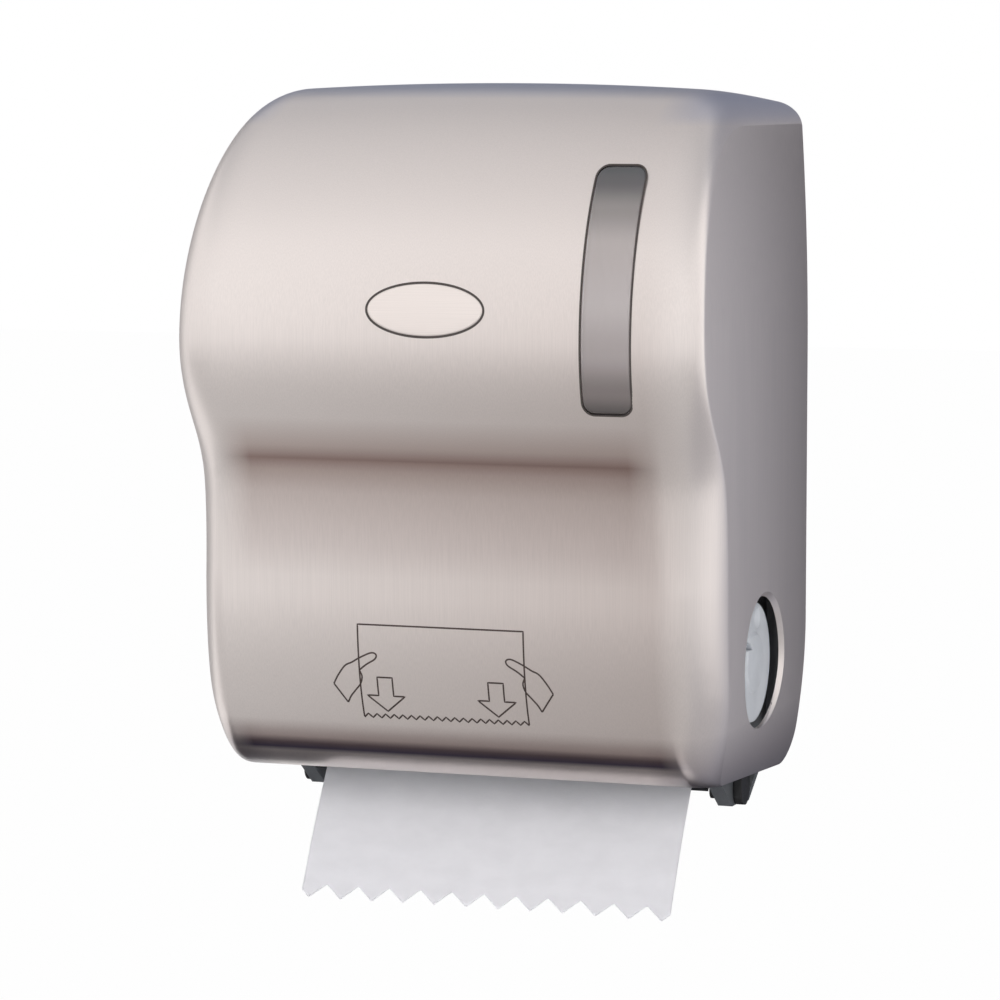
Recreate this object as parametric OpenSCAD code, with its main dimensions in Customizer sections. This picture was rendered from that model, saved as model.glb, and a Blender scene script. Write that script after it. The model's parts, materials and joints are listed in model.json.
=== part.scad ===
// Pull-type autocut dispenser for roll paper towels, millimetres.
// X runs to the right, Y runs into the wall, Z is up.
// The origin is the centre of the wall-screw pattern on the back face.
// Side views are drawn as [distance out from the wall, height above the cover's lower edge].

/* [Cover] */
// Room between an end of the paper and the widest part of the cover's side
side_room = 39; // [37:0.5:48]
// Room between a full roll and the top of the cover
top_room = 30; // [26:1:60]
// Wall thickness of the cover
cover_wall = 2.5; // [2:0.1:3]
// Gap between the cover's rear edge and the wall
cover_back = 2; // [1:0.5:4]
// Room between a full roll and the front of the upper bulge
bulge_room = 20; // [15:0.5:35]
// Height of the front of the upper bulge
bulge_h = 240; // [232:1:250]
// Reach at the crease between the bulges
crease_f = 197; // [190:1:205]
// Height of the crease
crease_h = 174; // [165:1:185]
// Reach of the lower bulge
low_f = 193; // [188:1:200]
// Reach of the lower lip's edge
lip_f = 134; // [130:1:140]
// Width of the rounded border between the front and a side panel
edge_blend = 36; // [30:1:40]
// How far the top edge drops from its middle to its ends
top_crown = 8; // [4:0.5:9]
// Steps along each curved stretch of the cover's profile
profile_steps = 9; // [4:1:10]
// Steps across each rounded border
blend_steps = 7; // [4:1:10]

/* [Window and badge] */
// Width of the sight window
window_w = 26; // [18:1:32]
// Height of the sight window
window_len = 125; // [90:1:135]
// Distance of the window's middle from the widest part of the cover's side
window_in = 47; // [46:0.5:64]
// Height of the window's middle
window_h = 267; // [255:1:275]
// Width of the oval badge
badge_w = 64; // [40:1:80]
// Height of the oval badge
badge_len = 28; // [18:1:36]
// Height of the badge's middle
badge_h = 256; // [246:1:270]
// Depth of the badge's seat in the cover
badge_seat = 0.8; // [0.5:0.1:1.2]

/* [Paper] */
// Width of the paper
roll_w = 210; // [200:1:214]
// Diameter of the paper roll
roll_d = 170; // [120:1:176]
// Inner diameter of the cardboard core
core_d = 38; // [36:0.5:42]
// Wall of the cardboard core
core_wall = 1.5; // [1:0.1:2.5]
// Height of the roll's axis
roll_h = 256; // [250:1:262]
// Distance of the roll's axis from the wall
roll_f = 110; // [104:1:114]
// Thickness of the paper web and tail
paper_t = 0.5; // [0.4:0.1:0.8]
// Length of the tail from the drum to its tips
tail_len = 104; // [70:1:120]
// Number of saw teeth across the paper
teeth = 12; // [8:1:16]
// Depth of the saw teeth
tooth_depth = 8; // [5:0.5:9]

/* [Drum] */
// Diameter of the feed drum
drum_d = 80; // [76:0.5:82]
// Wall of the feed drum
drum_wall = 3.5; // [2.5:0.1:4.5]
// Height of the drum's axis
drum_h = 64; // [62:0.5:66]
// Distance of the drum's axis from the wall
drum_f = 83; // [81:0.5:85]
// Diameter of the drum's shaft
shaft_d = 10; // [8:0.5:11]
// Diameter of a pinch roller
pinch_d = 24; // [20:0.5:26]
// Width of a pinch roller
pinch_w = 6; // [4:0.5:8]

/* [Feed knob] */
// Diameter of the feed knob
knob_d = 64; // [56:1:66]
// Diameter of the hole round the knob
knob_hole_d = 70; // [68:1:76]
// Depth of the knob's face below the widest part of the cover
knob_recess = 5; // [4.8:0.1:9]

/* [Frame] */
// Thickness of the cheeks
cheek_t = 3; // [2:0.1:4]
// Thickness of the back plate
plate_t = 3; // [2.5:0.1:4]
// Spacing of the wall screws across
screw_dx = 180; // [160:1:190]
// Spacing of the wall screws upwards
screw_dz = 240; // [220:1:244]
// Diameter of the wall-screw holes
screw_hole_d = 5.5; // [4.5:0.1:6.5]
// Height of the wall-screw pattern's middle above the cover's lower edge
mount_h = 186; // [182:1:190]
// Thickness of a roll arm
arm_t = 4; // [3:0.1:5]

/* [Hinge and lock] */
// Distance of the cover's hinge axis from the wall
hinge_f = 60; // [56:0.5:64]
// Drop of the hinge axis below the cover's lower edge
hinge_drop = 9.5; // [8.5:0.5:10]
// Diameter of a hinge knuckle
knuckle_d = 15; // [14:0.5:17]
// Diameter of a hinge pin
hinge_pin_d = 6; // [5:0.25:7]
// Thickness of a hinge ear
ear_t = 8; // [6:0.5:9]
// Diameter of the lock barrel
lock_d = 16; // [14:0.5:18]

/* [Clearances] */
// Radial clearance of a turning fit
run = 0.05; // [0.03:0.01:0.08]
// Gap between seated pieces that do not touch
seat = 0.3; // [0.2:0.05:0.4]

/* [Hidden] */
$fn = 48;
eps = 0.01;
press = 0.02;
half_w = roll_w / 2 + side_room;
cover_h = roll_h + roll_d / 2 + top_room;
bulge_f = roll_f + roll_d / 2 + bulge_room;

// Colours of the finishes
champagne = [0.78, 0.72, 0.70];
frame_grey = [0.45, 0.46, 0.48];
ear_grey = [0.36, 0.37, 0.38];
near_black = [0.09, 0.09, 0.10];
knob_white = [0.86, 0.87, 0.88];
paper_white = [0.93, 0.92, 0.90];
card_brown = [0.66, 0.54, 0.40];
steel = [0.72, 0.73, 0.75];
smoke = [0.35, 0.34, 0.34];

// Side panel of the cover: how far its outline lies inside the middle profile
top_inset = 22;
bulge_inset = 18;
crease_inset = 34;
low_inset = 40;
under_inset = 33;
lip_inset = 8;
low_h = 105;
under_h = 28;
under_f = lip_f + 42;
lip_h = 4;
side_lip_h = 3;
top_run = 95;
top_reach = 0.64;
top_rise = 0.5;
side_reach = 0.58;
side_rise = 0.5;
rear_drop = 4;
crown_fade = 0.35;
side_top_run = 95;
top_tuck = 4;
low_tuck = 2;
low_tuck_h = 80;
corner_tuck = 10.5;
top_corner_tuck = 6;
corner_tuck_h = 60;
rear_cut = 26;
rear_round = 14;
rear_round_h = 18;
blend_turn = 80;

// Frame across the width
knob_face_x = half_w - knob_recess;
knob_boss_t = 1.5;
knob_boss_r = 15;
knob_dimple_turn = -108;
knob_hole_bevel = 4;
arm_gap = 3;
arm_x = roll_w / 2 + arm_gap;
cheek_x = roll_w / 2 + 14;
cheek_out = cheek_x + cheek_t;
drum_half = roll_w / 2 + 3;
drum_disc_t = 4;
plate_half = half_w - 12;
plate_bottom = 6;
plate_top = cover_h - 24;
plate_round = 14;
rim_deep = 10;
rim_t = 3;
rib_x = 60;
rib_t = 3;
rib_deep = 6;
screw_boss_r = 9;
arm_root = 22;
arm_tip = 15;
arm_pin_r = 3;
arm_pivot = [arm_x + arm_t / 2, plate_t + 10];
lug_t = 7.7;
hub_pin_r = 6;
hub_flange_r = 26;
hub_plug = 15;
cheek_bottom = 2;
flange_w = 15;
flange_t = 3;
flange_low = cheek_bottom + 12;

// Drum and knife, angles turn from straight out towards up
drum_r = drum_d / 2;
grip_t = 0.6;
drum_in = drum_r - drum_wall;
shaft_r = shaft_d / 2;
slot_turn = 20;
slot_lo = slot_turn - 2;
slot_hi = slot_turn + 44;
knife_a = drum_r - 14;
knife_b = 22;
knife_lean = 78;
knife_pin_r = 3;
blade_t = 1;
holder_t = 4;
holder_len = 15;
tooth_pitch = roll_w / (teeth - 0.5);
knife_p = [drum_f + knife_a * cos(slot_turn), drum_h + knife_a * sin(slot_turn)];
knife_turn = slot_turn + knife_lean;
follow_r = 3.5;
follow_pin_r = 2;
follow_arm = 10;
follow_turn = slot_turn - 40;
follow_p = knife_p + follow_arm * [cos(follow_turn), sin(follow_turn)];
follow_path = norm(follow_p - [drum_f, drum_h]) + follow_r;
cam_lobe_r = follow_path + seat;
cam_base_r = cam_lobe_r + 3;
cam_out_r = cam_base_r + 3.5;
crank_x0 = drum_half + 0.4;
crank_x1 = crank_x0 + 3.6;

// Pinch rollers sit in valleys of the blade's teeth
pinch_r = pinch_d / 2;
pinch_turn = 160;
pinch_reach = drum_r + grip_t + pinch_r + seat + 0.1;
pinch_p = [drum_f + pinch_reach * cos(pinch_turn), drum_h + pinch_reach * sin(pinch_turn)];
pinch_shaft_r = 4;
pinch_xs = [for (k = [-4, -1, 1, 4]) k * tooth_pitch];
notch_w = pinch_w + 4;

// Paper web between the roll and the nip, and tail below the drum
roll_r = roll_d / 2;
core_r = core_d / 2;
core_out = core_r + core_wall;
tail_top = [drum_f - 11, drum_h - drum_r - 6];
tail_dir = [14, -22] / norm([14, -22]);
web_top = [roll_f - roll_r - 1, roll_h];
web_end = [pinch_p[0] + 9.4, pinch_p[1] + 15];
web_dir = (web_end - web_top) / norm(web_end - web_top);
web_len = norm(web_end - web_top);
web_rear = [web_dir[1], -web_dir[0]];
bar_r = 4;
bar_p = web_end - 7 * web_dir + (bar_r + seat + paper_t) * web_rear;

// Kick mechanism outside the left cheek
kick_base_r = 14;
kick_nose_r = 5;
kick_reach = 22;
kick_roller_r = 6;
kick_pin_r = 2;
kick_x0 = cheek_out + 1;
kick_t = 5.5;
lever_x0 = kick_x0 + kick_t + 2;
lever_t = 3;
lever_pivot_r = 4;
kick_roller_p = [drum_f, drum_h + kick_reach + seat + kick_roller_r];
lever_pivot = kick_roller_p + [-38, 5];
lever_tip = kick_roller_p + [32, 5];
spring_post = [lever_tip[0], drum_h - 24];
spring_x = -(kick_x0 + kick_t / 2 + 1);
wire_r = 0.7;
coil_r = 4;
hook_r = kick_pin_r + seat + wire_r;
coil_curls = 8;
coil_lead = 9;

// Hinge and lock
hinge_p = [hinge_f, -hinge_drop];
hinge_r = hinge_pin_d / 2;
knuckle_r = knuckle_d / 2;
ear_x0 = cheek_out - ear_t;
tab_x0 = ear_x0 - 1;
tab_top = 18;
tab_back = hinge_f - 10;
tab_front = hinge_f + 36;
pin_head_r = 5;
pin_head_t = 6;
guard_w = 9;
guard_t = 6;
knuckle_x0 = cheek_out + 0.5;
barrel_end = knuckle_x0 + 4.5;
foot_low = 7;
foot_top = 14;
lock_f = 26;
lock_r = lock_d / 2;
tongue_t = 2.5;
tongue_len = lock_r + 12;
tongue_w = 10;
window_round = 6;
window_x = half_w - window_in;
badge_raise = 0.4;
tongue_z = plate_top + 2.5;
strike_t = 3;
lock_nut_t = 5;
lock_seat_z = cover_h - rear_drop - cover_wall + 0.3;
lock_top = cover_h - rear_drop / 2 + 0.6;

function bezier(p, t) =
    pow(1 - t, 3) * p[0] + 3 * t * pow(1 - t, 2) * p[1] + 3 * t * t * (1 - t) * p[2] + t * t * t * p[3];

// Control points of the cover's six profile stretches for one set of reaches and heights
function stretches(rear, top, start, bulge, crease, low, under, lip, lip_z, reach, rise) = [
    [[cover_back, rear], [start / 3, top - (top - rear) / 2], [start * 2 / 3, top], [start, top]],
    [[start, top], [start + reach * (bulge - start), top],
        [bulge, bulge_h + rise * (top - bulge_h)], [bulge, bulge_h]],
    [[bulge, bulge_h], [bulge, bulge_h - 0.42 * (bulge_h - crease_h)],
        [crease + 0.55 * (bulge - crease), crease_h + 0.33 * (bulge_h - crease_h)], [crease, crease_h]],
    [[crease, crease_h], [low + 0.3 * (crease - low), crease_h - 0.2 * (crease_h - low_h)],
        [low, low_h + 0.43 * (crease_h - low_h)], [low, low_h]],
    [[low, low_h], [low, low_h - 0.45 * (low_h - under_h)],
        [under + 0.65 * (low - under), under_h + 0.22 * (low_h - under_h)], [under, under_h]],
    [[under, under_h], [under - 0.19 * (under - lip), lip_z + 0.45 * (under_h - lip_z)],
        [under - 0.48 * (under - lip), lip_z + 0.06 * (under_h - lip_z)], [lip, lip_z]]
];
middle_stretches = stretches(cover_h - rear_drop, cover_h, top_run, bulge_f, crease_f,
    low_f, under_f, lip_f, lip_h, top_reach, top_rise);
side_top = cover_h - top_inset;
side_stretches = stretches(side_top, side_top, side_top_run, bulge_f - bulge_inset, crease_f - crease_inset,
    low_f - low_inset, under_f - under_inset, lip_f - lip_inset, side_lip_h, side_reach, side_rise);
function profile_points(list) = [
    for (k = [0:len(list) - 1])
        let (n = k == 0 ? 3 : profile_steps)
        for (i = [0:n - (k == len(list) - 1 ? 0 : 1)]) bezier(list[k], i / n)
];
middle_line = profile_points(middle_stretches);
side_line = profile_points(side_stretches);
rows = len(middle_line);

// Share of the inward lean near the top of a side panel
function top_share(z) = pow(max(0, z - bulge_h + 15) / (side_top - bulge_h + 15), 2);

// Half width of the side panel at a height, and of its front edge
function side_x(z) =
    half_w - top_tuck * top_share(z) - low_tuck * pow(max(0, low_tuck_h - z) / low_tuck_h, 2);
function corner_x(z) =
    side_x(z) - top_corner_tuck * top_share(z)
    - corner_tuck * pow(max(0, corner_tuck_h - z) / corner_tuck_h, 2);
function rear_f(z) =
    cover_back + rear_cut * pow(max(0, low_tuck_h - z) / low_tuck_h, 2)
    + rear_round * pow(max(0, rear_round_h - z) / rear_round_h, 2);
flat_x = half_w - edge_blend;
function crown_drop(x, p) =
    let (rise = pow(max(0, p[1]) / cover_h, 4), fade = 1 - crown_fade * min(1, p[0] / top_run))
    top_crown * pow(x / half_w, 2) * rise * fade;

// Inner face of the cover's side wall beside a hinge knuckle
lip_rear = rear_f(foot_low);
lip_share = (hinge_f + knuckle_r - lip_rear) / (lip_f - lip_inset - lip_rear);
lip_lean = lip_share * corner_tuck * pow(1 - foot_low / corner_tuck_h, 2);
knuckle_x1 = side_x(foot_low) - lip_lean - cover_wall - 3 * seat;

// Point of the cover's outer skin: row along the profile, column across the width
columns = concat([-blend_steps - 1], [for (k = [-blend_steps:-1]) k],
    [for (k = [-2:2]) k / 100], [for (k = [1:blend_steps]) k], [blend_steps + 1]);
function skin_point(row, col) =
    let (c = columns[col], side = sign(c), n = abs(c))
    n < 1 ? flat_point(row, flat_x * c * 50)
    : n > blend_steps ? rear_point(row, side)
    : blend_point(row, side, blend_turn * n / blend_steps);
function flat_point(row, x) =
    let (p = middle_line[row])
    [x, -p[0], p[1] - crown_drop(x, p)];
function blend_point(row, side, turn) =
    let (m = middle_line[row], s = side_line[row])
    let (w = (1 - cos(turn)) / (1 - cos(blend_turn)), p = m + w * (s - m))
    let (x = flat_x + (corner_x(s[1]) - flat_x) * sin(turn) / sin(blend_turn))
    [side * x, -p[0], p[1] - (1 - w) * crown_drop(x, p)];
function rear_point(row, side) =
    let (top = side_top - 1, z = top + (side_lip_h - top) * row / (rows - 1))
    [side * side_x(z), -rear_f(z), z];

cols = len(columns);
skin = [for (r = [0:rows - 1]) [for (c = [0:cols - 1]) skin_point(r, c)]];
function unit(v) = v / norm(v);
skin_normals = [
    for (r = [0:rows - 1]) [
        for (c = [0:cols - 1])
            let (along = skin[min(r + 1, rows - 1)][c] - skin[max(r - 1, 0)][c])
            let (over = skin[r][min(c + 1, cols - 1)] - skin[r][max(c - 1, 0)])
            abs(columns[c]) > blend_steps ? [sign(columns[c]), 0, 0] : unit(cross(along, over))
    ]
];

// Closed solid between two offsets of the skin, over a block of rows and columns
module skin_solid(r0, r1, c0, c1, inner, outer) {
    nr = r1 - r0 + 1;
    nc = c1 - c0 + 1;
    grid = nr * nc;
    points = [
        for (d = [outer, inner]) for (r = [r0:r1]) for (c = [c0:c1])
            skin[r][c] + d * skin_normals[r][c]
    ];
    function at(layer, r, c) = layer * grid + r * nc + c;
    sheets = [
        for (r = [0:nr - 2]) for (c = [0:nc - 2])
            each [
                [at(0, r, c), at(0, r + 1, c), at(0, r, c + 1)],
                [at(0, r, c + 1), at(0, r + 1, c), at(0, r + 1, c + 1)],
                [at(1, r, c), at(1, r, c + 1), at(1, r + 1, c)],
                [at(1, r, c + 1), at(1, r + 1, c + 1), at(1, r + 1, c)]
            ]
    ];
    row_rims = [
        for (c = [0:nc - 2])
            each [
                [at(0, 0, c), at(0, 0, c + 1), at(1, 0, c)],
                [at(0, 0, c + 1), at(1, 0, c + 1), at(1, 0, c)],
                [at(0, nr - 1, c), at(1, nr - 1, c), at(0, nr - 1, c + 1)],
                [at(0, nr - 1, c + 1), at(1, nr - 1, c), at(1, nr - 1, c + 1)]
            ]
    ];
    column_rims = [
        for (r = [0:nr - 2])
            each [
                [at(0, r, 0), at(1, r, 0), at(0, r + 1, 0)],
                [at(0, r + 1, 0), at(1, r, 0), at(1, r + 1, 0)],
                [at(0, r, nc - 1), at(0, r + 1, nc - 1), at(1, r, nc - 1)],
                [at(0, r + 1, nc - 1), at(1, r + 1, nc - 1), at(1, r, nc - 1)]
            ]
    ];
    polyhedron(points, concat(sheets, row_rims, column_rims));
}

// Shared shapes
module in_frame() {
    translate([0, 0, -mount_h]) children();
}

module across(x0, x1) {
    translate([x0, 0, 0]) rotate([90, 0, 90]) linear_extrude(height = x1 - x0) mirror([1, 0]) children();
}

module rod(p, x0, x1, r) {
    across(x0, x1) translate(p) circle(r = r);
}

module on_side(side) {
    if (side < 0) mirror([1, 0, 0]) children();
    else children();
}

module frontwards(z) {
    translate([0, 0, z]) rotate([90, 0, 0]) linear_extrude(height = bulge_f + 20) children();
}

module rounded(w, h, r) {
    square([w - 2 * r, h], center = true);
    square([w, h - 2 * r], center = true);
    for (x = [-1, 1]) for (y = [-1, 1]) translate([x * (w / 2 - r), y * (h / 2 - r)]) circle(r = r);
}

module oval(w, h) {
    polygon([for (k = [0:59]) [w / 2 * cos(6 * k), h / 2 * sin(6 * k)]]);
}

module sector(r, a0, a1) {
    n = ceil((a1 - a0) / 40);
    turns = [for (k = [0:n]) a0 + (a1 - a0) * k / n];
    polygon(concat([[0, 0]], [for (a = turns) 2 * r * [cos(a), sin(a)]]));
}

module ring(r_out, r_in) {
    difference() {
        circle(r = r_out);
        circle(r = r_in);
    }
}

// A flat sheet that leaves point p in direction dir of the side view.
// Its outline is the children, drawn as [x, length].
module sheet_from(p, dir, t) {
    turn = 180 - atan2(dir[1], dir[0]);
    translate([0, -p[0], p[1]]) rotate([turn, 0, 0]) linear_extrude(height = t) children();
}

function saw_edge(y, depth) = [
    for (k = [0:2 * teeth])
        let (x = -roll_w / 2 + (k - 0.5) * tooth_pitch / 2)
        [max(-roll_w / 2, min(roll_w / 2, x)), saw_height(x, y, depth)]
];
function saw_height(x, y, depth) =
    let (u = (max(-roll_w / 2, min(roll_w / 2, x)) + roll_w / 2) / tooth_pitch + 0.25)
    y - depth * abs(2 * (u - floor(u)) - 1);

// Frame pieces
module back_plate() {
    w = 2 * plate_half;
    h = plate_top - plate_bottom;
    color(frame_grey) {
        difference() {
            union() {
                translate([0, 0, (plate_top + plate_bottom) / 2]) rotate([90, 0, 0]) {
                    linear_extrude(height = plate_t) rounded(w, h, plate_round);
                    linear_extrude(height = plate_t + rim_deep) difference() {
                        rounded(w, h, plate_round);
                        rounded(w - 2 * rim_t, h - 2 * rim_t, plate_round - rim_t);
                    }
                }
                for (x = [-rib_x, rib_x]) translate([x - rib_t / 2, -plate_t - rib_deep, plate_bottom + 2])
                    cube([rib_t, rib_deep + eps, h - 4]);
                for (x = [-1, 1]) for (z = [-1, 1]) screw_place(x, z)
                    cylinder(r = screw_boss_r, h = plate_t + 3);
                for (z = [roll_h - arm_root, roll_h + arm_root - lug_t])
                    translate([arm_pivot[0] - 7, -plate_t - 17, z]) cube([14, 17 + eps, lug_t]);
            }
            for (x = [-1, 1]) for (z = [-1, 1]) screw_place(x, z) translate([0, 0, -1])
                cylinder(d = screw_hole_d, h = plate_t + 5);
            translate([arm_pivot[0], -arm_pivot[1], roll_h - arm_root - 1])
                cylinder(r = arm_pin_r + run, h = 2 * arm_root + 2);
        }
    }
}

module screw_place(x, z) {
    translate([x * screw_dx / 2, 0, mount_h + z * screw_dz / 2]) rotate([90, 0, 0]) children();
}

module cheek_outline() {
    top = drum_h + drum_r + 18;
    heel = cheek_bottom + 8;
    front = drum_f + drum_r + 14;
    polygon([[plate_t, heel], [plate_t, top], [drum_f - 27, top], [drum_f + 19, top - 12],
        [front, drum_h + 24], [front, drum_h - 38], [tab_front + 18, cheek_bottom],
        [hinge_f - 16, cheek_bottom], [hinge_f - 30, heel]]);
}

module cheek(side) {
    on_side(side) color(frame_grey) {
        difference() {
            union() {
                across(cheek_x, cheek_out) cheek_outline();
                across(cheek_x - flange_w, cheek_x + eps) translate([plate_t, flange_low])
                    square([flange_t, drum_h + 22 - flange_low]);
            }
            rod([drum_f, drum_h], cheek_x - 1, cheek_out + 1, shaft_r + 4 + run);
            rod(pinch_p, cheek_x - 1, cheek_out + 1, pinch_shaft_r + run);
        }
        if (side < 0) {
            rod(lever_pivot, cheek_out - eps, lever_x0 + lever_t + 1, lever_pivot_r);
            rod(spring_post, cheek_out - eps, kick_x0 + kick_t + 1, kick_pin_r);
        }
    }
}

module left_cheek() {
    cheek(-1);
}

module right_cheek() {
    cheek(1);
}

module strike() {
    x1 = tongue_len + 3;
    lip_y = lock_f + tongue_w / 2 + 1;
    hook_h = tongue_z + tongue_t + 1 - plate_top;
    color(steel) translate([0, 0, plate_top]) {
        translate([x1, -lip_y - strike_t, 0]) cube([strike_t, lip_y + strike_t - 1, hook_h]);
        translate([lock_r + 1, -lip_y - strike_t, 0]) cube([x1 - lock_r, strike_t, hook_h]);
        translate([x1 - 8, -plate_t - rim_deep + 1, 0]) cube([24, plate_t + rim_deep - 2, 2]);
    }
}

// Roll holder
module arm_outline(back) {
    near = roll_f - hub_pin_r;
    polygon([[back, roll_h - arm_root], [near, roll_h - arm_tip], [near, roll_h + arm_tip],
        [back, roll_h + arm_root]]);
    translate([roll_f, roll_h]) circle(r = arm_tip + 1);
}

module left_roll_arm() {
    color(frame_grey) difference() {
        union() {
            across(-arm_x - arm_t, -arm_x) arm_outline(plate_t);
            across(-arm_x - eps, -arm_x + 20) translate([plate_t, roll_h - arm_root])
                square([3, 2 * arm_root]);
        }
        rod([roll_f, roll_h], -arm_x - arm_t - 1, -arm_x + 1, hub_pin_r + run);
    }
}

module right_roll_arm() {
    half = arm_root - lug_t - seat;
    color(frame_grey) difference() {
        union() {
            across(arm_x, arm_x + arm_t) intersection() {
                arm_outline(arm_pivot[1]);
                translate([0, roll_h - half]) square([roll_f + arm_root, 2 * half]);
            }
            translate([arm_pivot[0], -arm_pivot[1], roll_h - half])
                cylinder(r = 2 * arm_pin_r, h = 2 * half);
        }
        rod([roll_f, roll_h], arm_x - 1, arm_x + arm_t + 1, hub_pin_r + run);
        translate([arm_pivot[0], -arm_pivot[1], roll_h - arm_root])
            cylinder(r = arm_pin_r + run, h = 2 * arm_root);
    }
}

module arm_pin() {
    head = 2 * arm_root + seat;
    color(steel) translate([arm_pivot[0], -arm_pivot[1], roll_h - arm_root]) {
        cylinder(r = arm_pin_r, h = head + 1);
        translate([0, 0, head]) cylinder(r = arm_pin_r + 2, h = 2);
    }
}

module roll_hub(side, r_base, r_tip) {
    p = [roll_f, roll_h];
    face = roll_w / 2 + seat;
    on_side(side) color(near_black) {
        rod(p, face, arm_x - seat, hub_flange_r);
        rod(p, face, arm_x + arm_t + 1, hub_pin_r);
        translate([face + eps, -p[0], p[1]]) rotate([0, -90, 0])
            cylinder(r1 = r_base, r2 = r_tip, h = hub_plug);
    }
}

module left_roll_hub() {
    roll_hub(-1, core_r - seat, core_r - seat - 0.5);
}

module right_roll_hub() {
    roll_hub(1, core_r - 2, core_r - 6);
}

// Paper
module paper_roll() {
    color(paper_white) across(-roll_w / 2, roll_w / 2) translate([roll_f, roll_h])
        ring(roll_r, core_out + press);
}

module roll_core() {
    color(card_brown) across(-roll_w / 2, roll_w / 2) translate([roll_f, roll_h]) ring(core_out, core_r);
}

module towel_web() {
    color(paper_white) sheet_from(web_top, web_dir, paper_t)
        translate([-roll_w / 2, 0]) square([roll_w, web_len]);
}

module towel_tail() {
    color(paper_white) sheet_from(tail_top, tail_dir, paper_t)
        polygon(concat([[roll_w / 2, 0], [-roll_w / 2, 0]], saw_edge(tail_len, tooth_depth)));
}

// Drum
module at_drum() {
    translate([drum_f, drum_h]) children();
}

module drum_disc() {
    difference() {
        circle(r = drum_r);
        for (k = [1:4]) rotate(slot_turn + 60 * k + 30) translate([drum_r * 0.58, 0]) circle(r = 7);
    }
}

module drum_body() {
    color(frame_grey) difference() {
        union() {
            across(-drum_half, drum_half) at_drum() difference() {
                ring(drum_r, drum_in);
                sector(drum_r, slot_lo, slot_hi);
            }
            for (x = [-drum_half, drum_half - drum_disc_t]) across(x, x + drum_disc_t) at_drum()
                drum_disc();
            rod([drum_f, drum_h], -drum_half, drum_half, shaft_r + 4);
            across(-drum_half, drum_half) at_drum() for (k = [0:2]) rotate(slot_turn + 110 + 70 * k)
                translate([shaft_r + 2, -1.2]) square([drum_in - shaft_r - 1.5, 2.4]);
        }
        rod([drum_f, drum_h], -drum_half - 1, drum_half + 1, shaft_r + press);
        rod(knife_p, -drum_half - 1, drum_half + 1, knife_pin_r + run);
    }
}

module drum_grips() {
    color(near_black) for (x = pinch_xs) across(x - pinch_w, x + pinch_w) at_drum() difference() {
        ring(drum_r + grip_t, drum_r + press);
        sector(drum_r, slot_lo, slot_hi);
    }
}

module drum_shaft() {
    color(steel) rod([drum_f, drum_h], -kick_x0 - kick_t - 1, knob_face_x - 3, shaft_r);
}

module drum_bushings() {
    color(near_black) for (side = [-1, 1]) on_side(side) difference() {
        union() {
            rod([drum_f, drum_h], cheek_x - 2, cheek_x, shaft_r + 7);
            rod([drum_f, drum_h], cheek_x - eps, cheek_out, shaft_r + 4);
        }
        rod([drum_f, drum_h], cheek_x - 3, cheek_out + 1, shaft_r + run);
    }
}

module feed_knob() {
    p = [drum_f, drum_h];
    knob_r = knob_d / 2;
    face = knob_face_x;
    rim = face - knob_boss_t;
    color(knob_white) difference() {
        union() {
            rod(p, cheek_out + 0.6, face - 9, shaft_r + 5);
            rod(p, face - 10, rim, knob_r);
            translate([rim - eps, -p[0], p[1]]) rotate([0, 90, 0])
                cylinder(r1 = knob_boss_r + 1.5, r2 = knob_boss_r, h = face - rim + eps);
        }
        rod(p, cheek_out, face - 2.8, shaft_r + press);
        translate([rim + 4, -p[0], p[1]]) rotate([knob_dimple_turn, 0, 0]) translate([0, -knob_r * 0.75, 0])
            sphere(r = 7);
        across(rim - 4, face + 1) at_drum()
            polygon(knob_r * [[0.2, 0.24], [1.1, 0.24], [0.83, 0.8]]);
    }
}

// Knife
module knife_carrier() {
    crank = follow_p - knife_p;
    color(near_black) {
        across(-drum_half + drum_disc_t + 0.5, drum_half - drum_disc_t - 0.5) translate(knife_p) {
            circle(r = knife_pin_r + 1.5);
            rotate(knife_turn) translate([0, -holder_t / 2]) square([holder_len, holder_t]);
        }
        rod(knife_p, -crank_x1, drum_half + 1, knife_pin_r);
        across(-crank_x1, -crank_x0) translate(knife_p) {
            circle(r = knife_pin_r + 1.5);
            rotate(follow_turn) translate([0, -2.5]) square([follow_arm, 5]);
            translate(crank) circle(r = 2.5);
        }
        rod(follow_p, -cheek_x + 1, -crank_x1 + eps, follow_pin_r);
    }
}

module knife_blade() {
    edge = saw_edge(knife_b, tooth_depth);
    lean = [-sin(knife_turn), cos(knife_turn)];
    seat_p = knife_p + (holder_t / 2 + blade_t) * lean;
    color(steel) intersection() {
        sheet_from(seat_p, [cos(knife_turn), sin(knife_turn)], blade_t) difference() {
            polygon(concat([[roll_w / 2, 5], [-roll_w / 2, 5]], edge));
            for (x = pinch_xs) translate([x - notch_w / 2, holder_len]) square([notch_w, knife_b]);
        }
        translate([-drum_half + drum_disc_t + 1, -drum_f - drum_d, drum_h - drum_d])
            cube([2 * (drum_half - drum_disc_t - 1), 2 * drum_d, 2 * drum_d]);
    }
}

module cam_follower() {
    color(knob_white) across(-cheek_x + 1.4, -crank_x1 - 0.2) translate(follow_p)
        ring(follow_r, follow_pin_r + run);
}

module cam_ring() {
    color(near_black) across(-cheek_x, -crank_x1 - 0.2) at_drum() {
        ring(cam_out_r, cam_base_r);
        intersection() {
            ring(cam_out_r, cam_lobe_r);
            sector(cam_out_r, 190, 250);
        }
    }
}

// Pinch rollers
module pinch_shaft() {
    color(steel) rod(pinch_p, -cheek_out, cheek_out, pinch_shaft_r);
}

module pinch_rollers() {
    color(near_black) for (x = pinch_xs) across(x - pinch_w / 2, x + pinch_w / 2) translate(pinch_p)
        ring(pinch_r, pinch_shaft_r + press);
}

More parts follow.
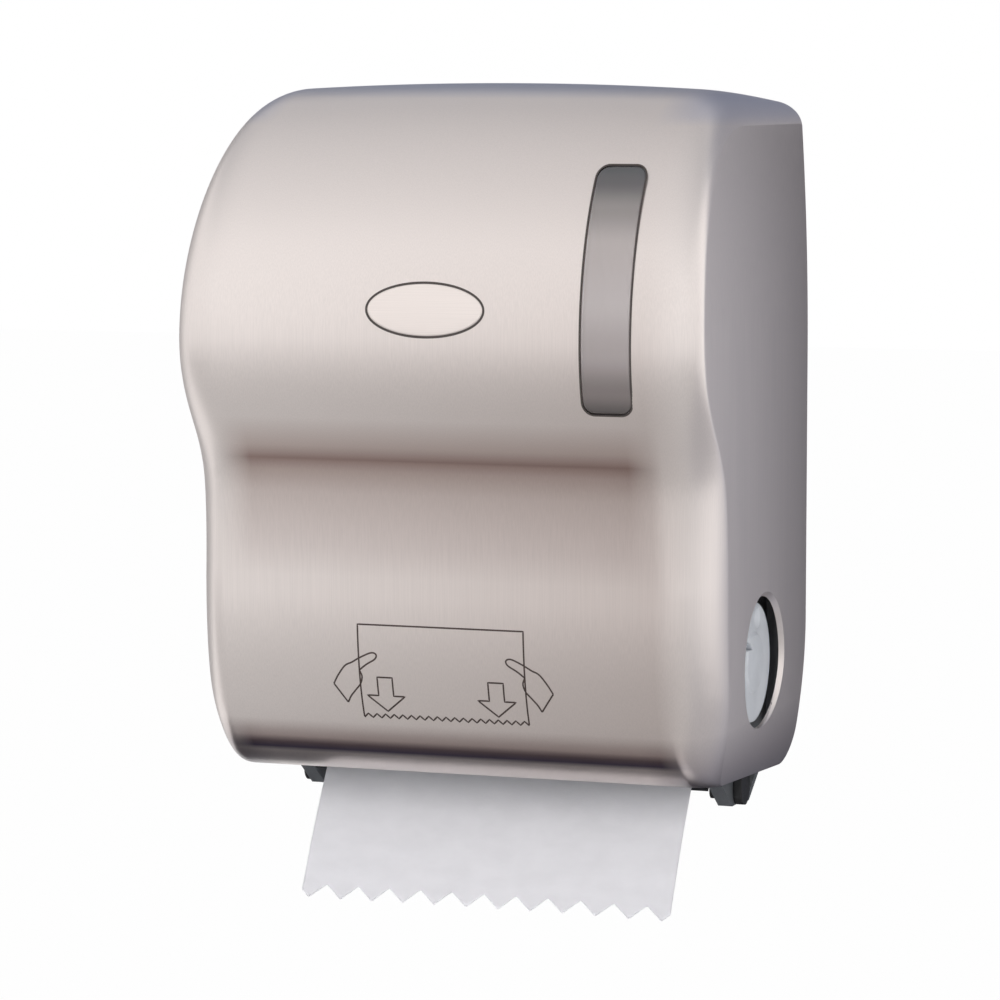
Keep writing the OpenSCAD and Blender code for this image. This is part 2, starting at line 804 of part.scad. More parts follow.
module pinch_springs() {
    h = pinch_p[1];
    tip = pinch_p[0] - pinch_shaft_r - seat;
    t = 0.8;
    foot = plate_t + t;
    color(steel) for (side = [-1, 1]) on_side(side) across(cheek_x - 12, cheek_x - 4)
        polygon([[plate_t, h + 38], [plate_t, h + 18], [foot, h + 18], [tip - t, h + 2], [tip - t, h - 6],
            [tip, h - 6], [tip, h + 2.4], [foot, h + 19.2], [foot, h + 38]]);
}

// Kick mechanism
module kick_cam() {
    tangent = acos((kick_base_r - kick_nose_r) / (kick_reach - kick_nose_r));
    nose = [kick_reach - kick_nose_r, 0];
    base_turns = [for (k = [0:24]) tangent + (360 - 2 * tangent) * k / 24];
    nose_turns = [for (k = [0:12]) tangent * (k / 6 - 1)];
    base_arc = [for (a = base_turns) kick_base_r * [cos(a), sin(a)]];
    nose_arc = [for (a = nose_turns) nose + kick_nose_r * [cos(a), sin(a)]];
    color(near_black) difference() {
        across(-kick_x0 - kick_t, -kick_x0) at_drum() rotate(90) polygon(concat(base_arc, nose_arc));
        rod([drum_f, drum_h], -kick_x0 - kick_t - 1, -kick_x0 + 1, shaft_r + press);
    }
}

module kick_lever() {
    x0 = -lever_x0 - lever_t;
    color(frame_grey) {
        difference() {
            across(x0, -lever_x0) {
                translate(lever_pivot) circle(r = lever_pivot_r + 4);
                translate(lever_tip) circle(r = 5);
                polygon([lever_pivot + [0, -6], lever_pivot + [0, 6],
                    lever_tip + [0, 4], lever_tip + [0, -4]]);
                translate(kick_roller_p) circle(r = 5);
                translate(kick_roller_p - [5, 0]) square([10, 6]);
            }
            rod(lever_pivot, x0 - 1, -lever_x0 + 1, lever_pivot_r + run);
        }
        rod(kick_roller_p, -lever_x0 - eps, -kick_x0 - 0.2, kick_pin_r);
        rod(lever_tip, -lever_x0 - eps, spring_x + 3, kick_pin_r);
    }
}

module kick_roller() {
    color(knob_white) across(-kick_x0 - kick_t - 0.5, -kick_x0 - 0.5) translate(kick_roller_p)
        ring(kick_roller_r, kick_pin_r + run);
}

// Extension spring: one wire that hooks round a pin, coils upwards and hooks round the other pin
spring_gap = lever_tip[1] - spring_post[1];
coil_z0 = hook_r + coil_lead;
coil_z1 = spring_gap - hook_r - coil_lead;
coil_steps = round(8 * coil_curls);
coil_points = [
    for (k = [0:coil_steps])
        let (a = 360 * k / 8, r = coil_r * min(1, k / 4, (coil_steps - k) / 4))
        [r * sin(a), r * cos(a), coil_z0 + (coil_z1 - coil_z0) * k / coil_steps]
];
spring_line = concat(
    [for (k = [0:7]) let (a = -150 + 30 * k) [0, hook_r * cos(a), hook_r * sin(a)]],
    [[0, hook_r * 0.4, hook_r * 1.8]],
    coil_points,
    [[0, -hook_r * 0.4, spring_gap - hook_r * 1.8]],
    [for (k = [0:7]) let (a = 180 - 30 * k) [0, hook_r * cos(a), spring_gap + hook_r * sin(a)]]
);
function tangent_at(line, k) = unit(line[min(k + 1, len(line) - 1)] - line[max(k - 1, 0)]);
spring_tangents = [for (k = [0:len(spring_line) - 1]) tangent_at(spring_line, k)];
function level(v, t) = unit(v - (v * t) * t);
spring_ups = [
    for (k = 0, u = level([1, 0, 0], spring_tangents[0]); k < len(spring_line);
        k = k + 1, u = k < len(spring_line) ? level(u, spring_tangents[k]) : u) u
];
spring_apart = min([
    for (i = [0:len(spring_line) - 1]) for (j = [i + 5:1:len(spring_line) - 1])
        norm(spring_line[i] - spring_line[j])
]) - 2 * wire_r;
echo(spring_least_gap = spring_apart);

module kick_spring() {
    n = len(spring_line);
    points = [
        for (k = [0:n - 1]) for (s = [0:5])
            let (u = spring_ups[k], v = cross(spring_tangents[k], u))
            spring_line[k] + wire_r * (cos(60 * s) * u + sin(60 * s) * v)
    ];
    walls = [
        for (k = [0:n - 2]) for (s = [0:5])
            let (a = 6 * k + s, b = 6 * k + (s + 1) % 6)
            each [[a, a + 6, b], [b, a + 6, b + 6]]
    ];
    ends = [for (s = [1:4]) each [[0, s, s + 1], [6 * n - 6, 6 * n - 6 + s + 1, 6 * n - 6 + s]]];
    color(steel) translate([spring_x, -spring_post[0], spring_post[1]])
        polyhedron(points, concat(walls, ends));
}

// Paper guides
module guide_bar() {
    color(steel) rod(bar_p, -cheek_x, cheek_x, bar_r);
}

module front_guide() {
    inner = drum_r + 8;
    color(near_black) across(-cheek_x, cheek_x) at_drum() intersection() {
        ring(inner + 3, inner);
        sector(inner + 3, -62, -10);
    }
}

module outlet_guide() {
    back = [tail_dir[1], -tail_dir[0]];
    top = tail_top + (paper_t + seat) * back;
    low = top + 27 * tail_dir;
    color(near_black) across(-tab_x0, tab_x0) {
        polygon([top, low, low + 3 * back, top + 3 * back]);
        polygon([top + 2.9 * back, top + 3 * tail_dir + 2.9 * back, top + [-14, -3.5], top + [-14, 0]]);
    }
}

// Cover
module window_shape(grow) {
    translate([window_x, 0]) rounded(window_w + 2 * grow, window_len + 2 * grow, window_round + grow);
}

module front_cover() {
    color(champagne) difference() {
        skin_solid(0, rows - 1, 0, cols - 1, -cover_wall, 0);
        frontwards(window_h) window_shape(seat);
        badge_block(badge_seat, 4, seat);
        rod([drum_f, drum_h], half_w - 25, half_w + 5, knob_hole_d / 2);
        translate([half_w - knob_hole_bevel, -drum_f, drum_h]) rotate([0, 90, 0])
            cylinder(r1 = knob_hole_d / 2 - 1, r2 = knob_hole_d / 2 + 7, h = 8);
        translate([0, -lock_f, cover_h - 10]) cylinder(r = lock_r + run, h = 20);
    }
}

// Block of the skin round the badge, from a depth below the surface to a height above it
module badge_block(deep, high, grow) {
    r0 = 3;
    r1 = 3 + 3 * profile_steps;
    middle = floor(cols / 2);
    intersection() {
        skin_solid(r0, r1, middle - 2, middle + 2, -deep, high);
        frontwards(badge_h) oval(badge_w + 2 * grow, badge_len + 2 * grow);
    }
}

module window_lens() {
    r0 = 3;
    r1 = 3 + 3 * profile_steps;
    middle = floor(cols / 2);
    color(smoke) intersection() {
        skin_solid(r0, r1, middle, middle + 3, -cover_wall, 0);
        frontwards(window_h) window_shape(0);
    }
}

module badge() {
    color(champagne) badge_block(badge_seat - press, badge_raise, 0);
}

// Lock
module lock_barrel() {
    color(steel) translate([0, -lock_f, 0]) difference() {
        translate([0, 0, tongue_z + tongue_t]) cylinder(r = lock_r, h = lock_top - tongue_z - tongue_t);
        translate([-1, -4, lock_top - 4]) cube([2, 8, 8]);
    }
}

module lock_nut() {
    color(steel) translate([0, -lock_f, lock_seat_z - lock_nut_t]) difference() {
        cylinder(r = lock_r + 5, h = lock_nut_t, $fn = 6);
        translate([0, 0, -1]) cylinder(r = lock_r + seat, h = lock_nut_t + 2);
    }
}

module lock_tongue() {
    color(steel) translate([0, -lock_f, tongue_z]) {
        cylinder(r = lock_r, h = tongue_t);
        translate([-tongue_w / 2, 0, 0]) cube([tongue_w, tongue_len, tongue_t]);
    }
}

// Hinge
module bracket(side) {
    ear_top = cheek_bottom - seat;
    ear_low = -hinge_drop - knuckle_r;
    guard_front = hinge_f - knuckle_r - 1;
    on_side(side) color(ear_grey) difference() {
        union() {
            across(ear_x0, cheek_out) polygon([[hinge_f - 20, ear_top], [hinge_f - 14, ear_low],
                [hinge_f + 8, ear_low], [hinge_f + 34, ear_top]]);
            translate([0, -guard_front, 0]) rotate([-90, 0, 0]) linear_extrude(height = guard_t)
                polygon([[cheek_out - eps, -ear_top], [cheek_out + guard_w, -ear_top],
                    [cheek_out + 0.3 * guard_w, -ear_low], [cheek_out - eps, -ear_low]]);
            across(tab_x0, cheek_x) translate([tab_back, -1])
                square([tab_front - tab_back, tab_top + 1]);
        }
        rod(hinge_p, tab_x0 - 1, cheek_out + 1, hinge_r + press);
    }
}

module left_bracket() {
    bracket(-1);
}

module right_bracket() {
    bracket(1);
}

module hinge_pin(side) {
    on_side(side) color(near_black) {
        rod(hinge_p, ear_x0 - pin_head_t, ear_x0 - 1.2, pin_head_r);
        rod(hinge_p, ear_x0 - 1.2 - eps, barrel_end, hinge_r);
    }
}

module left_hinge_pin() {
    hinge_pin(-1);
}

module right_hinge_pin() {
    hinge_pin(1);
}

module knuckle(side) {
    on_side(side) color(near_black) difference() {
        union() {
            rod(hinge_p, knuckle_x0, barrel_end, knuckle_r);
            across(knuckle_x0, barrel_end) translate([hinge_f - knuckle_r, -hinge_drop])
                square([2 * knuckle_r, hinge_drop + foot_top]);
            across(barrel_end - eps, knuckle_x1) translate([hinge_f - knuckle_r, foot_low])
                square([2 * knuckle_r, foot_top - foot_low]);
        }
        rod(hinge_p, knuckle_x0 - 1, barrel_end + 1, hinge_r + run);
    }
}

module left_knuckle() {
    knuckle(-1);
}

module right_knuckle() {
    knuckle(1);
}

in_frame() back_plate();
in_frame() left_cheek();
in_frame() right_cheek();
in_frame() strike();
in_frame() left_roll_arm();
in_frame() right_roll_arm();
in_frame() arm_pin();
in_frame() left_roll_hub();
in_frame() right_roll_hub();
in_frame() paper_roll();
in_frame() roll_core();
in_frame() towel_web();
in_frame() towel_tail();
in_frame() drum_body();
in_frame() drum_grips();
in_frame() drum_shaft();
in_frame() drum_bushings();
in_frame() feed_knob();
in_frame() knife_carrier();
in_frame() knife_blade();
in_frame() cam_follower();
in_frame() cam_ring();
in_frame() pinch_shaft();
in_frame() pinch_rollers();
in_frame() pinch_springs();
in_frame() kick_cam();
in_frame() kick_lever();
in_frame() kick_roller();
in_frame() kick_spring();
in_frame() guide_bar();
in_frame() front_guide();
in_frame() outlet_guide();
in_frame() front_cover();
in_frame() window_lens();
in_frame() badge();
in_frame() lock_barrel();
in_frame() lock_nut();
in_frame() lock_tongue();
in_frame() left_bracket();
in_frame() right_bracket();
in_frame() left_hinge_pin();
in_frame() right_hinge_pin();
in_frame() left_knuckle();
in_frame() right_knuckle();
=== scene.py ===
import json
import math

import bmesh
import bpy
import numpy as np
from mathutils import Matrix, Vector
from mathutils.bvhtree import BVHTree


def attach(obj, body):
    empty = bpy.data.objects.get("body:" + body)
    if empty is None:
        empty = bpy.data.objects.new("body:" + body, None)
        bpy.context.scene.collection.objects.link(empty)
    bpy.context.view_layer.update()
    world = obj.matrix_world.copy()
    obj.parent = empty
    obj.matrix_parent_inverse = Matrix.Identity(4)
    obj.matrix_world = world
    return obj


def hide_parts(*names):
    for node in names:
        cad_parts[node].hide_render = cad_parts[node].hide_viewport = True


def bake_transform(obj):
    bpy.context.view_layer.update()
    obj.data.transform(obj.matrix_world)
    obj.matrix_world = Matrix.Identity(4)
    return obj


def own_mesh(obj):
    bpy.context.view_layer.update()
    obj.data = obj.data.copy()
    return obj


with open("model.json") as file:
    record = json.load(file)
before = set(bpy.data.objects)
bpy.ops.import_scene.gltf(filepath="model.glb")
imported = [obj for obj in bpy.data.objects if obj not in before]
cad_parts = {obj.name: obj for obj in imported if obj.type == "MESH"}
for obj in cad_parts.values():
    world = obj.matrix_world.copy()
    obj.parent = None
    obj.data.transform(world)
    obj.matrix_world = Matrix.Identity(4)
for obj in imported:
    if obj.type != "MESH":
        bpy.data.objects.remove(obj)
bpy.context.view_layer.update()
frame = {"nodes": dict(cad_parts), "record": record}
NODES = frame["nodes"]
SCENE = bpy.context.scene
SCENE.view_settings.view_transform = "Standard"

# Sizes in mm, as in the part's source: f is the distance out from the wall, h the height above the cover's lower edge
MOUNT_H = 186.0
COVER_W, COVER_H, WALL, COVER_BACK = 288.0, 371.0, 2.5, 2.0
BULGE_F, BULGE_H, CREASE_F, CREASE_H, LOW_F, LOW_H = 215.0, 240.0, 197.0, 176.5, 193.0, 105.0
LIP_F, LIP_H, UNDER_H, EDGE_BLEND, TOP_CROWN = 134.0, 4.0, 28.0, 36.0, 8.0
UNDER_F = LIP_F + 42
TOP_RUN, SIDE_TOP_RUN, REAR_DROP, CROWN_FADE = 95.0, 95.0, 4.0, 0.35
TOP_INSET, BULGE_INSET, CREASE_INSET, LOW_INSET, UNDER_INSET, LIP_INSET = 22.0, 18.0, 34.0, 40.0, 33.0, 8.0
SIDE_LIP_H, TOP_TUCK, TOP_CORNER_TUCK, LOW_TUCK, LOW_TUCK_H = 4.0, 4.0, 6.0, 2.0, 80.0
CORNER_TUCK, CORNER_TUCK_H, REAR_CUT, REAR_ROUND, REAR_ROUND_H = 10.5, 60.0, 26.0, 22.0, 22.0
BLEND_TURN = math.radians(80)
CREASE_FADE = (92.0, 116.0)
HALF_W = COVER_W / 2
FLAT_X = HALF_W - EDGE_BLEND
SIDE_TOP = COVER_H - TOP_INSET
WINDOW = (97.0, 267.0, 26.0, 125.0, 6.0)
BADGE = (0.0, 256.0, 64.0, 28.0)
DRUM = (83.0, 64.0)
ROLL = (110.0, 256.0)
ROLL_R, ROLL_W, CORE_OUT = 85.0, 210.0, 20.5
KNOB_HOLE_R, KNOB_BEVEL = 35.0, 7.0
LOCK_F, LOCK_R = 26.0, 8.0
SEAT = 0.3


def to_row(p):
    """Points [x, f, h] in mm to the row frame in metres."""
    p = np.asarray(p, float)
    return np.stack([p[..., 0], -p[..., 1], p[..., 2] - MOUNT_H], -1) / 1000


def srgb(r, g, b):
    return tuple((v / 255 / 12.92 if v <= 10.31 else ((v / 255 + 0.055) / 1.055) ** 2.4) for v in (r, g, b)) + (1.0,)


# Meshes


def new_object(name, verts, faces, mat=None, smooth=True):
    mesh = bpy.data.meshes.new(name)
    mesh.from_pydata([tuple(v) for v in verts], [], [tuple(f) for f in faces])
    mesh.validate()
    if smooth:
        mesh.shade_smooth()
    obj = bpy.data.objects.new(name, mesh)
    SCENE.collection.objects.link(obj)
    if mat:
        mesh.materials.append(mat)
    return obj


def grid_faces(rows, cols, start=0, flip=False, wrap=False):
    out = []
    for r in range(rows - 1):
        for c in range(cols if wrap else cols - 1):
            d = (c + 1) % cols
            q = [start + r * cols + c, start + r * cols + d, start + (r + 1) * cols + d, start + (r + 1) * cols + c]
            out.append(q[::-1] if flip else q)
    return out


def shell(name, outer, inner, mat=None):
    """Closed solid between two grids of points, both (rows, cols, 3)."""
    rows, cols = outer.shape[:2]
    n = rows * cols
    verts = np.concatenate([outer.reshape(-1, 3), inner.reshape(-1, 3)])
    faces = grid_faces(rows, cols) + grid_faces(rows, cols, n, flip=True)
    at = lambda k, r, c: k * n + r * cols + c
    for c in range(cols - 1):
        faces.append([at(0, 0, c + 1), at(0, 0, c), at(1, 0, c), at(1, 0, c + 1)])
        faces.append([at(0, rows - 1, c), at(0, rows - 1, c + 1), at(1, rows - 1, c + 1), at(1, rows - 1, c)])
    for r in range(rows - 1):
        faces.append([at(0, r, 0), at(0, r + 1, 0), at(1, r + 1, 0), at(1, r, 0)])
        faces.append([at(0, r + 1, cols - 1), at(0, r, cols - 1), at(1, r, cols - 1), at(1, r + 1, cols - 1)])
    return new_object(name, verts, faces, mat)


def fix_normals(obj):
    bm = bmesh.new()
    bm.from_mesh(obj.data)
    bmesh.ops.recalc_face_normals(bm, faces=bm.faces)
    bm.to_mesh(obj.data)
    bm.free()
    return obj


def apply_modifiers(obj):
    bpy.context.view_layer.update()
    done = obj.evaluated_get(bpy.context.evaluated_depsgraph_get())
    mesh = bpy.data.meshes.new_from_object(done)
    obj.modifiers.clear()
    obj.data = mesh
    return obj


def cut(obj, cutters):
    for k, tool in enumerate(cutters):
        mod = obj.modifiers.new(f"cut_{k}", "BOOLEAN")
        mod.operation = "DIFFERENCE"
        mod.solver = "EXACT"
        mod.object = tool
    apply_modifiers(obj)
    for tool in cutters:
        bpy.data.objects.remove(tool)
    return obj


def prism(name, loop_a, loop_b):
    """Closed solid between two matching loops of points."""
    n = len(loop_a)
    faces = [[k, (k + 1) % n, n + (k + 1) % n, n + k] for k in range(n)]
    faces += [list(range(n))[::-1], list(range(n, 2 * n))]
    return fix_normals(new_object(name, np.concatenate([loop_a, loop_b]), faces, smooth=False))


# The cover's skin, from the same lines as the part's source, on a finer grid


def bezier(p, t):
    p = np.asarray(p, float)
    t = np.asarray(t)[:, None]
    return (1 - t) ** 3 * p[0] + 3 * t * (1 - t) ** 2 * p[1] + 3 * t * t * (1 - t) * p[2] + t ** 3 * p[3]


def stretches(rear, top, start, bulge, crease, low, under, lip, lip_z, reach, rise):
    return [
        [[COVER_BACK, rear], [start / 3, top - (top - rear) / 2], [start * 2 / 3, top], [start, top]],
        [[start, top], [start + reach * (bulge - start), top],
         [bulge, BULGE_H + rise * (top - BULGE_H)], [bulge, BULGE_H]],
        [[bulge, BULGE_H], [bulge, BULGE_H - 0.42 * (BULGE_H - CREASE_H)],
         [crease + 0.55 * (bulge - crease), CREASE_H + 0.33 * (BULGE_H - CREASE_H)], [crease, CREASE_H]],
        [[crease, CREASE_H], [low + 0.3 * (crease - low), CREASE_H - 0.2 * (CREASE_H - LOW_H)],
         [low, LOW_H + 0.43 * (CREASE_H - LOW_H)], [low, LOW_H]],
        [[low, LOW_H], [low, LOW_H - 0.45 * (LOW_H - UNDER_H)],
         [under + 0.65 * (low - under), UNDER_H + 0.22 * (LOW_H - UNDER_H)], [under, UNDER_H]],
        [[under, UNDER_H], [under - 0.19 * (under - lip), lip_z + 0.45 * (UNDER_H - lip_z)],
         [under - 0.48 * (under - lip), lip_z + 0.06 * (UNDER_H - lip_z)], [lip, lip_z]],
    ]


# Rows of the skin in each stretch, and where the row of the bulge and the crease lie
STEPS = (12, 36, 36, 36, 36, 36)
BULGE_ROW, CREASE_ROW = sum(STEPS[:2]), sum(STEPS[:3])
PANEL_EDGE_U = 2.012
ROW_PLACE = np.arange(sum(STEPS) + 1) / sum(STEPS)


def line(parts):
    pts = [bezier(p, np.arange(n) / n) for p, n in zip(parts, STEPS)]
    return np.concatenate(pts + [np.array([parts[-1][3]], float)])


MIDDLE = line(stretches(COVER_H - REAR_DROP, COVER_H, TOP_RUN, BULGE_F, CREASE_F, LOW_F, UNDER_F, LIP_F, LIP_H,
                        0.64, 0.5))
SIDE = line(stretches(SIDE_TOP, SIDE_TOP, SIDE_TOP_RUN, BULGE_F - BULGE_INSET, CREASE_F - CREASE_INSET,
                      LOW_F - LOW_INSET, UNDER_F - UNDER_INSET, LIP_F - LIP_INSET, SIDE_LIP_H, 0.58, 0.5))


def top_share(z):
    return (np.maximum(0, z - BULGE_H + 15) / (SIDE_TOP - BULGE_H + 15)) ** 2


def below(z, level):
    return (np.maximum(0, level - z) / level) ** 2


def side_x(z):
    return HALF_W - TOP_TUCK * top_share(z) - LOW_TUCK * below(z, LOW_TUCK_H)


def rear_f(z):
    t = np.clip((REAR_ROUND_H - z) / (REAR_ROUND_H - SIDE_LIP_H), 0, 1)
    return COVER_BACK + REAR_CUT * below(z, LOW_TUCK_H) + REAR_ROUND * (1 - np.sqrt(1 - t * t))


def crown_drop(x, p):
    rise = (np.maximum(0, p[..., 1]) / COVER_H) ** 4
    return TOP_CROWN * (x / HALF_W) ** 2 * rise * (1 - CROWN_FADE * np.minimum(1, p[..., 0] / TOP_RUN))


def flat_x(p):
    """Half width of the flat front; the border beside it is narrower low down and at the roof's rear."""
    low = np.interp(p[:, 1], [0, 60, 110, 150, 200, 240], [20, 24, 24, 28, 34, EDGE_BLEND])
    rear = np.interp(p[:, 0], [0, TOP_RUN], [20, EDGE_BLEND])
    return HALF_W - np.where(p[:, 1] > BULGE_H, rear, low)


def skin_column(u):
    """One column of the skin; u runs from 0 in the middle to 1 at the border, 2 at the side panel and 3 at the wall."""
    side, u = (-1 if u < 0 else 1), abs(u)
    flat = flat_x(MIDDLE)
    if u <= 1:
        x = flat * u
        return np.stack([side * x, MIDDLE[:, 0], MIDDLE[:, 1] - crown_drop(x, MIDDLE)], -1)
    turn = BLEND_TURN * min(1, u - 1)
    w = (1 - math.cos(turn)) / (1 - math.cos(BLEND_TURN))
    p = MIDDLE + w * (SIDE - MIDDLE)
    z = SIDE[:, 1]
    tuck = TOP_CORNER_TUCK * np.minimum(1, SIDE[:, 0] / SIDE_TOP_RUN)
    corner = side_x(z) - tuck * top_share(z) - CORNER_TUCK * below(z, CORNER_TUCK_H)
    x = flat + (corner - flat) * math.sin(turn) / math.sin(BLEND_TURN)
    edge = np.stack([side * x, p[:, 0], p[:, 1] - (1 - w) * crown_drop(x, p)], -1)
    if u <= 2:
        return edge
    z = SIDE_LIP_H + (SIDE_TOP - 1 - SIDE_LIP_H) * (1 - ROW_PLACE) ** 1.4
    rear = np.stack([side * side_x(z), rear_f(z), z], -1)
    return edge + (u - 2) * (rear - edge)


def soften_crease(pts):
    """Smooths the rows near the crease where it fades out towards the sides."""
    width, sigma, near_rows = 20, 6, 10
    reach = np.arange(-width, width + 1)
    weights = np.exp(-(reach / sigma) ** 2 / 2)
    padded = np.pad(pts, ((width, width), (0, 0), (0, 0)), mode="edge")
    soft = sum(w * padded[width + k:width + k + len(pts)] for k, w in zip(reach, weights)) / weights.sum()
    start, end = CREASE_FADE
    fade = np.clip((np.abs(pts[CREASE_ROW, :, 0]) - start) / (end - start), 0, 1)
    near = np.exp(-((np.arange(len(pts)) - CREASE_ROW) / near_rows) ** 2)
    return pts + (near[:, None] * fade)[..., None] * (soft - pts)


def build_skin():
    """Points and outward normals of the skin."""
    half = [k / 12 for k in range(12)] + [1 + k / 26 for k in range(27)] + [PANEL_EDGE_U]
    half += [2 + k / 10 for k in range(1, 11)]
    us = [-u for u in half[:0:-1]] + half
    pts = soften_crease(np.stack([skin_column(u) for u in us], 1))
    along = np.gradient(pts, axis=0)
    over = np.gradient(pts, axis=1)
    normal = np.cross(over, along)
    length = np.linalg.norm(normal, axis=-1, keepdims=True)
    normal = normal / np.maximum(length, 1e-9)
    panel = np.abs(np.array(us)) >= PANEL_EDGE_U
    normal[:, panel] = 0
    normal[:, panel, 0] = np.sign(np.array(us))[panel]
    if normal[BULGE_ROW, len(us) // 2, 1] < 0:
        normal[:, ~panel] *= -1
    return pts, normal


SKIN, SKIN_N = build_skin()
FRONT_ROWS = slice(STEPS[0], sum(STEPS[:5]) + 1)
FRONT_H, FRONT_F = MIDDLE[FRONT_ROWS][::-1, 1], MIDDLE[FRONT_ROWS][::-1, 0]


def front_f(x, h):
    """Reach of the cover's front at [x, h]."""
    x, h = np.abs(np.asarray(x, float)), np.asarray(h, float)
    f = np.interp(h, FRONT_H, FRONT_F)
    side_f = np.interp(h, SIDE[FRONT_ROWS][::-1, 1], SIDE[FRONT_ROWS][::-1, 0])
    turn = np.arcsin(np.clip((x - FLAT_X) / EDGE_BLEND, 0, 1) * math.sin(BLEND_TURN))
    return f + (1 - np.cos(turn)) / (1 - math.cos(BLEND_TURN)) * (side_f - f)


def front_n(x, h):
    d = 0.5
    fx = (front_f(x + d, h) - front_f(x - d, h)) / (2 * d)
    fh = (front_f(x, h + d) - front_f(x, h - d)) / (2 * d)
    n = np.stack([-fx, np.ones_like(fx), -fh], -1)
    return n / np.linalg.norm(n, axis=-1, keepdims=True)


def on_front(x, h, lift):
    x, h = np.asarray(x, float), np.asarray(h, float)
    p = np.stack([x, front_f(x, h), h], -1)
    return to_row(p + np.asarray(lift)[..., None] * front_n(x, h))


# Outlines on the front


def rounded_loop(w, h, r, n=10):
    pts = []
    for cx, cy, a0 in ((1, 1, 0), (-1, 1, 90), (-1, -1, 180), (1, -1, 270)):
        for k in range(n + 1):
            a = math.radians(a0 + 90 * k / n)
            pts.append((cx * (w / 2 - r) + r * math.cos(a), cy * (h / 2 - r) + r * math.sin(a)))
    return np.array(pts)


def dense(loop, step, closed=True):
    out = []
    pts = list(loop) + ([loop[0]] if closed else [])
    for a, b in zip(pts[:-1], pts[1:]):
        a, b = np.asarray(a, float), np.asarray(b, float)
        n = max(1, int(np.linalg.norm(b - a) / step))
        out += [a + (b - a) * k / n for k in range(n)]
    if not closed:
        out.append(np.asarray(pts[-1], float))
    return np.array(out)


def oval_loop(w, h, n=96):
    a = np.arange(n) * 2 * math.pi / n
    return np.stack([w / 2 * np.cos(a), h / 2 * np.sin(a)], -1)


def plate_on_front(name, loop, centre, profile, mat):
    """A closed plate that follows the front: profile lists (inset from the loop as a share, lift) from edge inwards."""
    loop = np.asarray(loop)
    layers = []
    for inset, lift in profile:
        p = loop * (1 - inset) + np.asarray(centre)
        layers.append(on_front(p[:, 0], p[:, 1], np.full(len(p), lift)))
    n, m = len(loop), len(layers)
    verts = np.concatenate(layers)
    faces = grid_faces(m, n, wrap=True)
    faces += [list(range(n))[::-1], list(range((m - 1) * n, m * n))]
    return fix_normals(new_object(name, verts, faces, mat))


def ribbons(name, lines, width, lift, mat):
    """Thin strips that follow the front along lines of [x, h]."""
    verts, faces = [], []
    for pts, closed in lines:
        pts = dense(pts, 1.0, closed)
        n = len(pts)
        nxt = np.roll(pts, -1, 0) if closed else np.concatenate([pts[1:], pts[-1:]])
        prv = np.roll(pts, 1, 0) if closed else np.concatenate([pts[:1], pts[:-1]])
        d = nxt - prv
        d /= np.maximum(np.linalg.norm(d, axis=1, keepdims=True), 1e-9)
        side = np.stack([-d[:, 1], d[:, 0]], -1) * width / 2
        base = len(verts)
        for s in (-1, 1):
            q = pts + s * side
            verts += list(on_front(q[:, 0], q[:, 1], np.full(n, lift)))
        for k in range(n if closed else n - 1):
            j = (k + 1) % n
            faces.append([base + k, base + n + k, base + n + j, base + j])
    return new_object(name, verts, faces, mat)


# Materials


